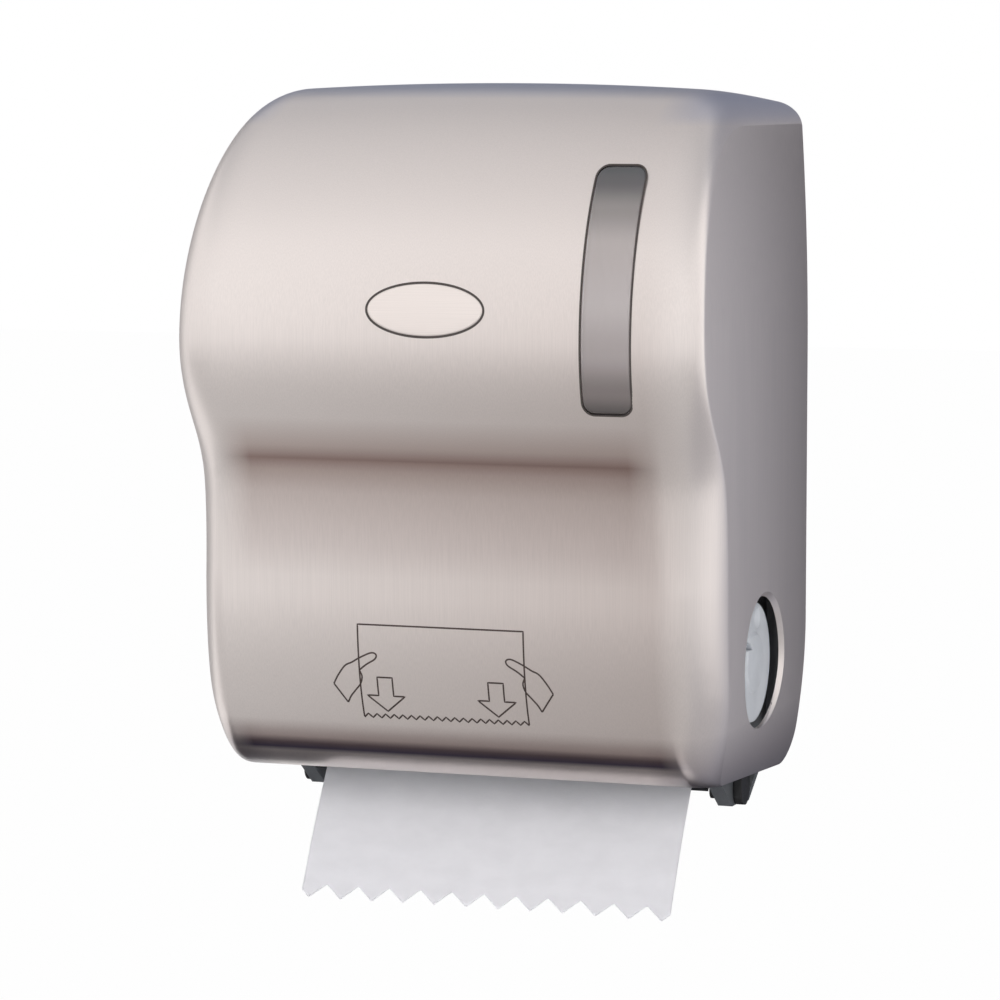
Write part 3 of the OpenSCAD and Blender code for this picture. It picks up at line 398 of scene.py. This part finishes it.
class Look:
    """A principled material with helpers for procedural detail."""

    def __init__(self, name, base, rough, metal=0.0, spec=0.5):
        self.mat = bpy.data.materials.new(name)
        self.mat.use_nodes = True
        self.tree = self.mat.node_tree
        self.bsdf = self.tree.nodes["Principled BSDF"]
        self.base, self.rough = base, rough
        self.put("Base Color", base)
        self.put("Roughness", rough)
        self.put("Metallic", metal)
        self.put("Specular IOR Level", spec)
        self.normal = None
        self.coords = self.tree.nodes.new("ShaderNodeTexCoord").outputs["Object"]

    def put(self, socket, value):
        self.bsdf.inputs[socket].default_value = value
        return self

    def node(self, kind, **values):
        n = self.tree.nodes.new(kind)
        for k, v in values.items():
            if k in n.inputs:
                n.inputs[k].default_value = v
            else:
                setattr(n, k, v)
        return n

    def link(self, a, b):
        self.tree.links.new(a, b)

    def noise(self, scale, stretch=(1, 1, 1), detail=3.0):
        m = self.node("ShaderNodeMapping")
        m.inputs["Scale"].default_value = stretch
        self.link(self.coords, m.inputs["Vector"])
        n = self.node("ShaderNodeTexNoise", Scale=scale, Detail=detail)
        self.link(m.outputs[0], n.inputs["Vector"])
        return n.outputs["Fac"]

    def ramp(self, value, stops, interpolation="LINEAR"):
        """Colour along value: stops list (place, linear colour)."""
        low, high = stops[0][0], stops[-1][0]
        r = self.node("ShaderNodeValToRGB")
        r.color_ramp.interpolation = interpolation
        marks = r.color_ramp.elements
        while len(marks) < len(stops):
            marks.new(0.5)
        for mark, (place, color) in zip(marks, stops):
            mark.position = (place - low) / (high - low)
            mark.color = color
        self.link(self.spread(value, (low, high), (0, 1)), r.inputs[0])
        return r.outputs[0]

    def along_height(self, stops):
        """Base colour by height: stops list (height in mm, sRGB colour)."""
        places = [((h - MOUNT_H) / 1000, srgb(*color)) for h, color in stops]
        self.link(self.ramp(self.axis("Z"), places, "EASE"), self.bsdf.inputs["Base Color"])
        return self

    def axis(self, name, away=None):
        """Place along one axis, or the distance from a place on it, in metres."""
        split = self.node("ShaderNodeSeparateXYZ")
        self.link(self.coords, split.inputs[0])
        value = split.outputs[name]
        if away is None:
            return value
        off = self.node("ShaderNodeMath", operation="SUBTRACT")
        off.inputs[1].default_value = away
        self.link(value, off.inputs[0])
        size = self.node("ShaderNodeMath", operation="ABSOLUTE")
        self.link(off.outputs[0], size.inputs[0])
        return size.outputs[0]

    def both(self, a, b):
        m = self.node("ShaderNodeMath", operation="MULTIPLY")
        self.link(a, m.inputs[0])
        self.link(b, m.inputs[1])
        return m.outputs[0]

    def spread(self, value, ends, to):
        """Maps value from the two ends to two others, and holds it there."""
        m = self.node("ShaderNodeMapRange")
        m.inputs["From Min"].default_value, m.inputs["From Max"].default_value = ends
        m.inputs["To Min"].default_value, m.inputs["To Max"].default_value = to
        self.link(value, m.inputs["Value"])
        return m.outputs[0]

    def dim(self, value, stops, fade):
        """Multiplies the base colour by a ramp along value, as far as fade says: stops list (metres, colour)."""
        tone = self.ramp(value, [(place, (*color, 1)) for place, color in stops])
        mix = self.node("ShaderNodeMix", data_type="RGBA", blend_type="MULTIPLY")
        socket = self.bsdf.inputs["Base Color"]
        self.link(fade, mix.inputs["Factor"])
        self.link(socket.links[0].from_socket, mix.inputs[6])
        self.link(tone, mix.inputs[7])
        self.link(mix.outputs[2], socket)
        return self

    def vary(self, fac, share):
        """Base colour up to share darker and lighter along fac."""
        low = tuple(c * (1 - share) for c in self.base[:3]) + (1,)
        high = tuple(min(1, c * (1 + share)) for c in self.base[:3]) + (1,)
        self.link(self.ramp(fac, [(0.35, low), (0.65, high)]), self.bsdf.inputs["Base Color"])
        return self

    def roughen(self, fac, amount):
        ends = (self.rough - amount, self.rough + amount)
        self.link(self.spread(fac, (0.3, 0.7), ends), self.bsdf.inputs["Roughness"])
        return self

    def soft_edges(self, radius):
        b = self.node("ShaderNodeBevel", samples=6)
        b.inputs["Radius"].default_value = radius
        self.normal = b.outputs[0]
        self.link(self.normal, self.bsdf.inputs["Normal"])
        return self

    def bump(self, fac, depth, strength=1.0):
        b = self.node("ShaderNodeBump")
        b.inputs["Strength"].default_value = strength
        b.inputs["Distance"].default_value = depth
        self.link(fac, b.inputs["Height"])
        if self.normal is not None:
            self.link(self.normal, b.inputs["Normal"])
        self.normal = b.outputs[0]
        self.link(self.normal, self.bsdf.inputs["Normal"])
        return self


def moulded(name, base, rough=0.5, grain=0.00006, edges=0.0007):
    look = Look(name, base, rough)
    look.soft_edges(edges)
    look.vary(look.noise(35, detail=4), 0.07)
    fine = look.noise(1800, detail=2)
    look.roughen(fine, 0.06).bump(fine, grain)
    return look


def brushed(name, base, rough, stretch, metal=1.0, edges=0.0):
    look = Look(name, base, rough, metal)
    if edges:
        look.soft_edges(edges)
    streaks = look.noise(1, stretch, 4)
    look.vary(streaks, 0.03)
    look.roughen(streaks, 0.03).bump(streaks, 0.000004)
    return look


COVER = brushed("cover_brushed", srgb(233, 224, 220), 0.34, (2600, 2600, 9), metal=0.9)
CREASE_Z = (CREASE_H - MOUNT_H) / 1000
FRONT_END, LIP_END, FALL_END = (0.104, 0.122), (0.114, 0.130), (0.116, 0.134)


def within(ends):
    """One up to a distance from the middle, falling to nothing at a second one."""
    return COVER.spread(COVER.axis("X", 0.0), ends, (1, 0))


def beyond(ends):
    return COVER.spread(COVER.axis("X", 0.0), ends, (0, 1))


# Painted shade in the cover's colour: it gathers in the crease and behind the lip, and the tone falls slowly from left
# to right
ON_FRONT, BESIDE_FRONT = within(FRONT_END), beyond(FRONT_END)
# Painted shade: a dark band along the crease, deepest at its line
COVER.dim(COVER.axis("Z"), [(CREASE_Z - 0.062, (1, 1, 1)), (CREASE_Z - 0.046, (0.88, 0.86, 0.86)),
                            (CREASE_Z - 0.018, (0.76, 0.72, 0.71)), (CREASE_Z - 0.006, (0.60, 0.53, 0.51)),
                            (CREASE_Z, (0.42, 0.33, 0.31)), (CREASE_Z + 0.002, (0.54, 0.45, 0.43)),
                            (CREASE_Z + 0.007, (0.74, 0.68, 0.66)), (CREASE_Z + 0.022, (1, 1, 1))], ON_FRONT)
# Painted shade: a dark, blue-tinged band behind the lip
COVER.dim(COVER.axis("Z"), [(-0.1690, (1, 1, 1)), (-0.1665, (0.20, 0.18, 0.28)), (-0.1635, (0.30, 0.25, 0.28)),
                            (-0.1600, (0.68, 0.61, 0.60)), (-0.1500, (1, 1, 1))], within(LIP_END))
# Painted shade: the front darkens from left to right, most of all below the crease
COVER.dim(COVER.axis("X"), [(-0.12, (1, 1, 1)), (0.12, (0.76, 0.73, 0.72))],
          COVER.both(within(FALL_END), COVER.spread(COVER.axis("Z"), (-0.01, 0.10), (1, 0.3))))
# Painted shade: beside the front, the border and sides darken towards the bottom edge
COVER.dim(COVER.axis("Z"), [(-0.182, (0.42, 0.42, 0.46)), (-0.172, (0.62, 0.61, 0.64)), (-0.150, (1, 1, 1))],
          BESIDE_FRONT)
# Painted reflection and shade: the roof darkens to a cool blue-grey, standing in for the blue-grey it reflects; beside
# the front this starts lower
COVER.dim(COVER.axis("Z"), [(0.1770, (1, 1, 1)), (0.1825, (0.72, 0.78, 0.90)), (0.1860, (0.66, 0.74, 0.92))], ON_FRONT)
COVER.dim(COVER.axis("Z"), [(0.1630, (1, 1, 1)), (0.1680, (0.86, 0.89, 0.97)), (0.1800, (0.66, 0.72, 0.88))],
          BESIDE_FRONT)
BADGE_LOOK = brushed("badge_brushed", srgb(236, 226, 221), 0.32, (9, 9, 2600), metal=0.9)
GROOVE = moulded("groove_dark", srgb(66, 58, 55), 0.6)
PRINT = Look("print_brown", srgb(62, 48, 44), 0.55)
PRINT.vary(PRINT.noise(300), 0.15)
LENS = Look("smoked_lens", srgb(150, 146, 144), 0.2)
LENS.put("Transmission Weight", 0.3).put("IOR", 1.45)
LENS.roughen(LENS.noise(60, detail=4), 0.03)
# Painted light and shade: the lens is lighter across its middle and darker at its top and bottom, standing in for the
# lit roll seen through it
LENS.along_height([(204.5, (100, 94, 92)), (216, (142, 132, 130)), (236, (188, 178, 176)), (262, (206, 196, 194)),
                   (290, (204, 194, 191)), (308, (166, 159, 156)), (322, (112, 109, 110)), (329.5, (100, 100, 102))])
FRAME = moulded("frame_grey", srgb(150, 151, 154), 0.5)
EAR = moulded("ear_grey", srgb(92, 94, 97), 0.5)
BLACK = moulded("moulded_black", srgb(30, 30, 32), 0.42)
KNOB = moulded("knob_white", srgb(222, 224, 228), 0.36, 0.00003, 0.0012)
RUBBER = moulded("rubber_black", srgb(28, 28, 28), 0.8, 0.00015)
STEEL = brushed("bright_steel", srgb(196, 198, 202), 0.28, (20, 900, 900), edges=0.0003)
CARD = Look("cardboard", srgb(172, 146, 112), 0.85)
CARD.vary(CARD.noise(90, (1, 6, 6), 5), 0.12).bump(CARD.noise(500, detail=4), 0.0002)


def paper_look(name, base):
    look = Look(name, base, 0.92, 0.0, 0.2)
    look.put("Sheen Weight", 0.15)
    look.vary(look.noise(60, (1, 1, 2), 5), 0.02)
    crepe = look.noise(1, (500, 1500, 1500), 4)
    look.bump(crepe, 0.00012, 0.6)
    return look


PAPER = paper_look("crepe_paper", srgb(240, 238, 241))
SLOT_LOOKS = {
    "cover_finish": COVER, "smoked_lens": LENS, "frame_plastic": FRAME, "bracket_plastic": EAR,
    "black_plastic": BLACK, "white_plastic": KNOB, "rubber": RUBBER, "steel": STEEL, "paper": PAPER,
    "cardboard": CARD,
}
for part in frame["record"]["subparts"]:
    mesh = NODES[part["node"]].data
    mesh.materials.clear()
    mesh.materials.append(SLOT_LOOKS[part["material_slot"]].mat)


# Cover shell with its window, badge seat, knob hole and lock hole


def circle_loop(x, f, h, r, n=96):
    a = np.arange(n) * 2 * math.pi / n
    return to_row(np.stack([np.full(n, x), f + r * np.cos(a), h + r * np.sin(a)], -1))


def build_cover():
    cover = shell("cover_shell", to_row(SKIN), to_row(SKIN - WALL * SKIN_N), COVER.mat)
    fix_normals(cover)
    x, h, w, l, r = WINDOW
    loop = rounded_loop(w + 2 * SEAT, l + 2 * SEAT, r + SEAT) + np.array([x, h])
    ends = [to_row(np.stack([loop[:, 0], np.full(len(loop), f), loop[:, 1]], -1)) for f in (150.0, 240.0)]
    hole = prism("tool_window", *ends)
    bx, bh, bw, bl = BADGE
    oval = oval_loop(bw + 2 * SEAT, bl + 2 * SEAT)
    well = plate_on_front("tool_badge", oval, (bx, bh), [(0, -0.8), (0, 4.0)], None)
    knob = prism("tool_knob", circle_loop(110, *DRUM, KNOB_HOLE_R), circle_loop(160, *DRUM, KNOB_HOLE_R))
    bevel = prism("tool_bevel", circle_loop(HALF_W - 4, *DRUM, KNOB_HOLE_R - 1),
                  circle_loop(HALF_W + 4, *DRUM, KNOB_HOLE_R + KNOB_BEVEL))
    a = np.arange(48) * 2 * math.pi / 48
    lock_loops = [to_row(np.stack([LOCK_R * np.cos(a), LOCK_F + LOCK_R * np.sin(a), np.full(48, z)], -1))
                  for z in (COVER_H - 10, COVER_H + 10)]
    lock = prism("tool_lock", *lock_loops)
    cut(cover, [hole, well, knob, bevel, lock])
    smooth_like_skin(cover)
    return cover


def smooth_like_skin(obj):
    """Gives the outer faces the skin's own normals, so that the cuts leave no shading marks."""
    rows, cols = SKIN.shape[:2]
    pts = to_row(SKIN).reshape(-1, 3)
    nrm = (SKIN_N * np.array([1, -1, 1])).reshape(-1, 3)
    quads = grid_faces(rows, cols)
    tris = [t for q in quads for t in ((q[0], q[1], q[2]), (q[0], q[2], q[3]))]
    tree = BVHTree.FromPolygons([Vector(p) for p in pts], tris)
    mesh = obj.data
    normals = [None] * len(mesh.vertices)
    for k, v in enumerate(mesh.vertices):
        place, _, index, dist = tree.find_nearest(v.co)
        if index is None or dist > 2e-5:
            continue
        tri = tris[index]
        a, b, c = (pts[i] for i in tri)
        area = np.linalg.norm(np.cross(b - a, c - a)) + 1e-15
        p = np.array(place)
        wa = np.linalg.norm(np.cross(b - p, c - p)) / area
        wb = np.linalg.norm(np.cross(c - p, a - p)) / area
        n = wa * nrm[tri[0]] + wb * nrm[tri[1]] + (1 - wa - wb) * nrm[tri[2]]
        normals[k] = n / np.linalg.norm(n)
    loops = np.zeros((len(mesh.loops), 3))
    for poly in mesh.polygons:
        own = np.array(poly.normal)
        ids = poly.vertices
        skin_face = all(normals[i] is not None and np.dot(normals[i], own) > 0.6 for i in ids)
        for li, vi in zip(poly.loop_indices, ids):
            loops[li] = normals[vi] if skin_face else own
    mesh.shade_smooth()
    mesh.normals_split_custom_set([tuple(n) for n in loops])


cover = build_cover()
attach(cover, "cover")
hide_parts("front_cover")

# Window lens with a rounded rim, and the dark line round it
wx, wh, ww, wl, wr = WINDOW
lens_loop = dense(rounded_loop(ww, wl, wr), 2.0)
lens = plate_on_front("lens", lens_loop, (wx, wh),
                      [(0.0, -2.4), (0.0, -0.6), (0.02, -0.15), (0.06, 0.0), (0.10, -0.25), (0.25, -0.3), (0.5, -0.3),
                       (0.75, -0.3), (0.98, -0.3)], LENS.mat)
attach(lens, "cover")
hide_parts("window_lens")
seal_loop = dense(rounded_loop(ww + 0.9, wl + 0.9, wr + 0.45), 2.0) + np.array([wx, wh])
seal = ribbons("lens_seal", [(seal_loop, True)], 0.9, 0.12, GROOVE.mat)
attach(seal, "cover")

# Oval badge, bare, in its seat
badge = plate_on_front("badge_plate", oval_loop(BADGE[2] - 1.4, BADGE[3] - 1.4), BADGE[:2],
                       [(0.0, -0.75), (0.0, 0.1), (0.015, 0.35), (0.05, 0.4), (0.3, 0.42), (0.6, 0.44), (0.97, 0.45)],
                       BADGE_LOOK.mat)
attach(badge, "cover")
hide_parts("badge")
groove = ribbons("badge_groove", [(oval_loop(BADGE[2] - 0.2, BADGE[3] - 0.2) + np.array(BADGE[:2]), True)], 1.2, 0.06,
                 GROOVE.mat)
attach(groove, "cover")

# Pull sign: a sheet with a torn edge, two arrows and two plain hands


def curve(points, n=8):
    """A smooth line through the points."""
    p = np.asarray(points, float)
    p = np.concatenate([[2 * p[0] - p[1]], p, [2 * p[-1] - p[-2]]])
    t = np.arange(n)[:, None] / n
    out = []
    for a, b, c, d in zip(p, p[1:], p[2:], p[3:]):
        square, cube = 2 * a - 5 * b + 4 * c - d, 3 * b - a - 3 * c + d
        out.append(0.5 * (2 * b + (c - a) * t + square * t ** 2 + cube * t ** 3))
    return np.concatenate(out + [p[-2:-1]])


def hand_lines():
    """A plain hand that holds the sheet's edge, drawn outwards from x 0."""
    thumb = curve([(4.0, 3.5), (-1.0, 6.4), (-7.0, 9.0), (-9.8, 8.2), (-9.0, 5.7), (-4.0, 2.6), (0.0, -0.5)])
    back = curve([(4.0, 3.5), (8.0, 1.5), (12.0, -3.5), (15.0, -8.5)])
    palm = curve([(0.0, -0.5), (-1.2, -4.0), (0.0, -8.0), (3.0, -11.5), (6.0, -15.0), (8.0, -18.5)])
    cuff = np.array([(15.0, -8.5), (8.0, -18.5)])
    return [thumb, back, palm, cuff]


def sign_lines():
    half, top, low, teeth = 45.8, 90.0, 40.0, 19
    zig = [(half * (k / teeth - 1), low + (1.8 if k % 2 else -0.4)) for k in range(2 * teeth + 1)]
    out = [([(-half, low), (-half, top), (half, top), (half, low)], False), (zig, False)]
    for cx in (-32.0, 29.5):
        arrow = [(-4.2, 62), (4.2, 62), (4.2, 52), (10.5, 52), (0, 43.5), (-10.5, 52), (-4.2, 52)]
        out.append(([(cx + x, h) for x, h in arrow], True))
    for side in (-1, 1):
        out += [(pts * [side, 1] + [side * half, 66.0], False) for pts in hand_lines()]
    return out


sign = ribbons("pull_sign", sign_lines(), 0.9, 0.05, PRINT.mat)
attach(sign, "cover")

# Paper: tail, web and roll


def sheet_grid(name, centre_line, width, cols, wave, thick, mat, tips=None):
    """A thin sheet along a side-view line of [f, h]; tips gives by how many mm the column at x is shorter."""
    line_pts = np.asarray(centre_line, float)
    seg = np.r_[0, np.cumsum(np.linalg.norm(np.diff(line_pts, axis=0), axis=1))]
    rows = len(line_pts)
    xs = np.linspace(-width / 2, width / 2, cols)
    top = np.zeros((rows, cols, 3))
    for c, x in enumerate(xs):
        end = seg[-1] if tips is None else seg[-1] - tips(x)
        s = seg / seg[-1] * end
        top[:, c, 0] = x
        for k in (0, 1):
            top[:, c, k + 1] = np.interp(s, seg, line_pts[:, k])
    over, along = np.gradient(top, axis=1), np.gradient(top, axis=0)
    n = np.cross(over, along)
    n /= np.linalg.norm(n, axis=-1, keepdims=True)
    if n[rows // 2, cols // 2, 1] < 0:
        n *= -1
    share = np.linspace(0, 1, rows)[:, None]
    top = top + wave(xs[None, :], share)[..., None] * n
    sheet = shell(name, to_row(top), to_row(top - thick * n), mat)
    return fix_normals(sheet)


TEETH, TOOTH, TAIL_LEN = 12, 8.0, 104.0
PITCH = ROLL_W / (TEETH - 0.5)


def saw(x):
    u = (x + ROLL_W / 2) / PITCH + 0.25
    return TOOTH * abs(2 * (u - math.floor(u)) - 1)


TAIL_TOP = (72.0, 18.0)
TAIL_DIR = np.array([14, -22]) / np.linalg.norm([14, -22])
TAIL_OUT = np.array([22, 14]) / 26.08
TAIL_BOW = 2.2
steps = np.linspace(0, 1, 60)
tail_line = (np.array(TAIL_TOP) + np.outer(steps * TAIL_LEN, TAIL_DIR)
             + np.outer(TAIL_BOW * np.sin(math.pi * steps), TAIL_OUT))
tail = sheet_grid("tail_sheet", tail_line, ROLL_W, TEETH * 2 * 8 + 1,
                  lambda x, s: s * (0.9 * np.sin(x / 31.0 + 1.1) + 0.5 * np.sin(x / 13.0 - 2 * s)), 0.3, PAPER.mat, saw)
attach(tail, "frame")
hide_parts("towel_tail")
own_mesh(tail)

web_top, web_end = np.array([24.0, 256.0]), np.array([42.6, 97.13])
web_line = web_top + np.outer(np.linspace(0, 1, 40), web_end - web_top)
web = sheet_grid("web_sheet", web_line, ROLL_W, 60, lambda x, s: 0.15 * np.sin(x / 40.0) * np.sin(math.pi * s), 0.25,
                 PAPER.mat)
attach(web, "frame")
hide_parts("towel_web")


def build_roll():
    """Wound roll: a plain outside, and ends that show the turns."""
    n = 128
    radii = np.linspace(CORE_OUT, ROLL_R - 1.2, 40)
    end = [(ROLL_W / 2 + 0.25 * math.sin(1.7 * k) - 0.25, r) for k, r in enumerate(radii)]
    half = end + [(ROLL_W / 2 - 0.5, ROLL_R - 0.4), (ROLL_W / 2 - 1.6, ROLL_R)]
    mid = [(x, ROLL_R) for x in np.linspace(ROLL_W / 2 - 1.6, -ROLL_W / 2 + 1.6, 30)[1:-1]]
    back = [(-x, r) for x, r in half[::-1]]
    ring = half + mid + back
    verts = []
    for k in range(n):
        a = 2 * math.pi * k / n
        for x, r in ring:
            verts.append((x, ROLL[0] + r * math.cos(a), ROLL[1] + r * math.sin(a)))
    m = len(ring)
    faces = []
    for k in range(n):
        j = (k + 1) % n
        for i in range(m):
            q = (i + 1) % m
            faces.append([k * m + i, k * m + q, j * m + q, j * m + i])
    return fix_normals(new_object("wound_roll", to_row(np.array(verts)), faces, PAPER.mat))


roll = build_roll()
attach(roll, "roll")
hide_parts("paper_roll")

# Extension spring, finer than its solid


SPRING_X, SPRING_F, SPRING_LOW, SPRING_HIGH = -126.75, 115.0, 40.0, 97.3


def build_spring():
    hook, coil, wire, curls, lead = 3.0, 4.0, 0.7, 8, 9.0
    gap = SPRING_HIGH - SPRING_LOW
    z0, z1 = hook + lead, gap - hook - lead
    pts = [(0, hook * math.cos(a), hook * math.sin(a)) for a in np.radians(np.linspace(-150, 60, 22))]
    pts.append((0, hook * 0.4, hook * 1.8))
    n = 24 * curls
    for k in range(n + 1):
        a = 2 * math.pi * k / 24
        r = coil * min(1, k / 12, (n - k) / 12)
        pts.append((r * math.sin(a), r * math.cos(a), z0 + (z1 - z0) * k / n))
    pts.append((0, -hook * 0.4, gap - hook * 1.8))
    pts += [(0, hook * math.cos(a), gap + hook * math.sin(a)) for a in np.radians(np.linspace(180, -30, 22))]
    pts = np.array(pts)
    tan = np.gradient(pts, axis=0)
    tan /= np.linalg.norm(tan, axis=1, keepdims=True)
    up = np.array([1.0, 0, 0])
    verts, sides = [], 10
    for p, t in zip(pts, tan):
        up = up - np.dot(up, t) * t
        up /= np.linalg.norm(up)
        v = np.cross(t, up)
        for s in range(sides):
            a = 2 * math.pi * s / sides
            q = p + wire * (math.cos(a) * up + math.sin(a) * v)
            verts.append((SPRING_X + q[0], SPRING_F - q[1], SPRING_LOW + q[2]))
    m = len(pts)
    faces = grid_faces(m, sides, wrap=True) + [list(range(sides))[::-1], list(range((m - 1) * sides, m * sides))]
    return fix_normals(new_object("kick_coil", to_row(np.array(verts)), faces, STEEL.mat))


spring = build_spring()
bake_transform(spring)
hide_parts("kick_spring")

# Stage: pale floor and backdrop, soft light, camera


def seen_as_background(tree):
    """One where a ray comes from the camera, a glossy or a clear surface."""
    path = tree.nodes.new("ShaderNodeLightPath")
    total = path.outputs["Is Camera Ray"]
    for name in ("Is Glossy Ray", "Is Transmission Ray"):
        most = tree.nodes.new("ShaderNodeMath")
        most.operation = "MAXIMUM"
        tree.links.new(total, most.inputs[0])
        tree.links.new(path.outputs[name], most.inputs[1])
        total = most.outputs[0]
    return total


def mix_out(tree, fac, first, second, output):
    mix = tree.nodes.new("ShaderNodeMixShader")
    tree.links.new(fac, mix.inputs[0])
    tree.links.new(first.outputs[0], mix.inputs[1])
    tree.links.new(second.outputs[0], mix.inputs[2])
    tree.links.new(mix.outputs[0], tree.nodes[output].inputs["Surface"])


def plane(name, corners, mat):
    obj = new_object(name, corners, [(0, 1, 2, 3)], mat, smooth=False)
    return obj


FLOOR_Z, FLOOR_SIZE, FLOOR_GLOW = -0.75, 12.0, 0.985
CARD_Z = FLOOR_Z + 0.01


def level(x, y, z):
    """Corners of a level rectangle between two places along x and along y."""
    return [(x[0], y[0], z), (x[1], y[0], z), (x[1], y[1], z), (x[0], y[1], z)]


def upright(a, b, z):
    """Corners of an upright rectangle over the line from a to b."""
    return [(*a, z[0]), (*b, z[0]), (*b, z[1]), (*a, z[1])]


def add_floor():
    mat = bpy.data.materials.new("floor_white")
    mat.use_nodes = True
    tree = mat.node_tree
    bsdf = tree.nodes["Principled BSDF"]
    bsdf.inputs["Base Color"].default_value = (0.85, 0.85, 0.85, 1)
    bsdf.inputs["Roughness"].default_value = 0.9
    glow = tree.nodes.new("ShaderNodeEmission")
    glow.inputs["Color"].default_value = (1, 1, 1, 1)
    share = tree.nodes.new("ShaderNodeMath")
    share.operation = "MULTIPLY"
    share.inputs[1].default_value = FLOOR_GLOW
    tree.links.new(seen_as_background(tree), share.inputs[0])
    mix_out(tree, share.outputs[0], bsdf, glow, "Material Output")
    span = (-FLOOR_SIZE, FLOOR_SIZE)
    plane("floor", level(span, span, FLOOR_Z), mat)


def add_card(name, corners, tones):
    """A studio card beside the picture, seen only in reflections, with a tone at each corner."""
    mat = bpy.data.materials.new(name)
    mat.use_nodes = True
    tree = mat.node_tree
    tree.nodes.remove(tree.nodes["Principled BSDF"])
    glow = tree.nodes.new("ShaderNodeEmission")
    shade = tree.nodes.new("ShaderNodeVertexColor")
    shade.layer_name = "tone"
    tree.links.new(shade.outputs["Color"], glow.inputs["Color"])
    tree.links.new(glow.outputs[0], tree.nodes["Material Output"].inputs["Surface"])
    obj = plane(name, corners, mat)
    tone = obj.data.color_attributes.new("tone", "FLOAT_COLOR", "POINT")
    for k, color in enumerate(tones):
        tone.data[k].color = (*color, 1)
    obj.visible_camera = obj.visible_shadow = obj.visible_diffuse = False


def add_world():
    world = bpy.data.worlds.new("studio")
    SCENE.world = world
    world.use_nodes = True
    tree = world.node_tree
    soft = tree.nodes["Background"]
    soft.inputs["Color"].default_value = (0.80, 0.82, 0.86, 1)
    soft.inputs["Strength"].default_value = 0.45
    white = tree.nodes.new("ShaderNodeBackground")
    white.inputs["Color"].default_value = (1, 1, 1, 1)
    white.inputs["Strength"].default_value = 1.0
    mix_out(tree, seen_as_background(tree), soft, white, "World Output")


def add_light(name, place, target, size, power, color=(1, 1, 1)):
    data = bpy.data.lights.new(name, "AREA")
    data.shape = "RECTANGLE"
    data.size, data.size_y = size
    data.energy = power
    data.color = color
    obj = bpy.data.objects.new(name, data)
    SCENE.collection.objects.link(obj)
    obj.location = place
    obj.rotation_euler = (Vector(target) - Vector(place)).to_track_quat("-Z", "Y").to_euler()
    obj.visible_glossy = False


def add_camera():
    az, el, dist = math.radians(19.5), math.radians(5.7), 2.29
    target = Vector((0.004, -0.110, -0.037))
    back = Vector((math.sin(az) * math.cos(el), -math.cos(az) * math.cos(el), math.sin(el)))
    data = bpy.data.cameras.new("camera")
    data.sensor_width, data.lens = 36.0, 154.08
    cam = bpy.data.objects.new("camera", data)
    SCENE.collection.objects.link(cam)
    cam.location = target + back * dist
    cam.rotation_mode = "QUATERNION"
    cam.rotation_quaternion = (-back).to_track_quat("-Z", "Y")
    SCENE.camera = cam


add_floor()
add_world()
# Tones of the cards that the cover reflects: over and before it, below it, behind it and to its right and left
FAR, NEAR, WARM_DARK, NAVY = (0.92,) * 3, (0.55,) * 3, (0.03, 0.02, 0.022), (0.008, 0.011, 0.025)
OVER_NEAR, OVER_FAR = (1.06,) * 3, (0.45, 0.46, 0.48)
BLUE, PALE_BLUE = (0.13, 0.15, 0.21), (0.36, 0.38, 0.43)
DARK, DIM, MID, LIGHT = (0.02, 0.02, 0.03), (0.10, 0.105, 0.13), (0.25, 0.26, 0.31), (0.66, 0.68, 0.77)
RIGHT_FLOOR, LEFT_BACK, LEFT_FRONT = (0.42, 0.42, 0.44), (0.30, 0.30, 0.31), (0.75,) * 3
add_card("card_over", level((-4, 4), (-3.2, 2.0), 2.2), [OVER_NEAR, OVER_NEAR, OVER_FAR, OVER_FAR])
add_card("card_floor", level((-6, 6), (-7.0, -1.1), CARD_Z), [FAR, FAR, NEAR, NEAR])
add_card("card_foot", level((-6, 6), (-1.1, -0.3), CARD_Z), [NEAR] * 4)
add_card("card_under", level((-0.7, 0.06), (-0.30, 0.45), CARD_Z + 0.04), [WARM_DARK, WARM_DARK, NAVY, NAVY])
add_card("card_near", upright((0.16, 0.10), (0.34, 0.10), (CARD_Z, 0.17)), [DARK, MID, LIGHT, DARK])
add_card("card_wall", upright((-0.10, 0.10), (0.16, 0.10), (CARD_Z, 0.16)), [DARK] * 4)
add_card("card_side", upright((0.17, 1.2), (1.0, 1.12), (CARD_Z, 0.6)), [DIM, DIM, MID, MID])
add_card("card_glow", upright((1.89, -0.17), (1.46, 1.22), (-0.40, 0.9)),
         [(0.85,) * 3, (1.30,) * 3, (1.40,) * 3, (1.0,) * 3])
add_card("card_right", level((0.35, 4), (-0.3, 3), CARD_Z + 0.01), [RIGHT_FLOOR] * 4)
add_card("card_left", upright((-1.05, 1.2), (-3.2, 0.4), (-0.7, 0.9)), [LEFT_BACK, LEFT_FRONT, LEFT_FRONT, LEFT_BACK])
add_card("card_back", [(-2.5, 1.4, 0.36), (2.5, 1.4, 0.36), (2.5, 1.6, 1.6), (-2.5, 1.6, 1.6)],
         [BLUE, BLUE, PALE_BLUE, PALE_BLUE])
add_light("key", (-1.1, -2.4, 0.6), (0, -0.1, 0.0), (1.4, 1.0), 26)
add_light("fill", (1.7, -1.5, 0.25), (0, -0.1, 0.0), (0.7, 1.4), 12)
add_light("top", (0.2, -0.3, 1.6), (0, -0.1, 0.0), (1.2, 1.0), 6, (0.92, 0.95, 1.0))
add_camera()
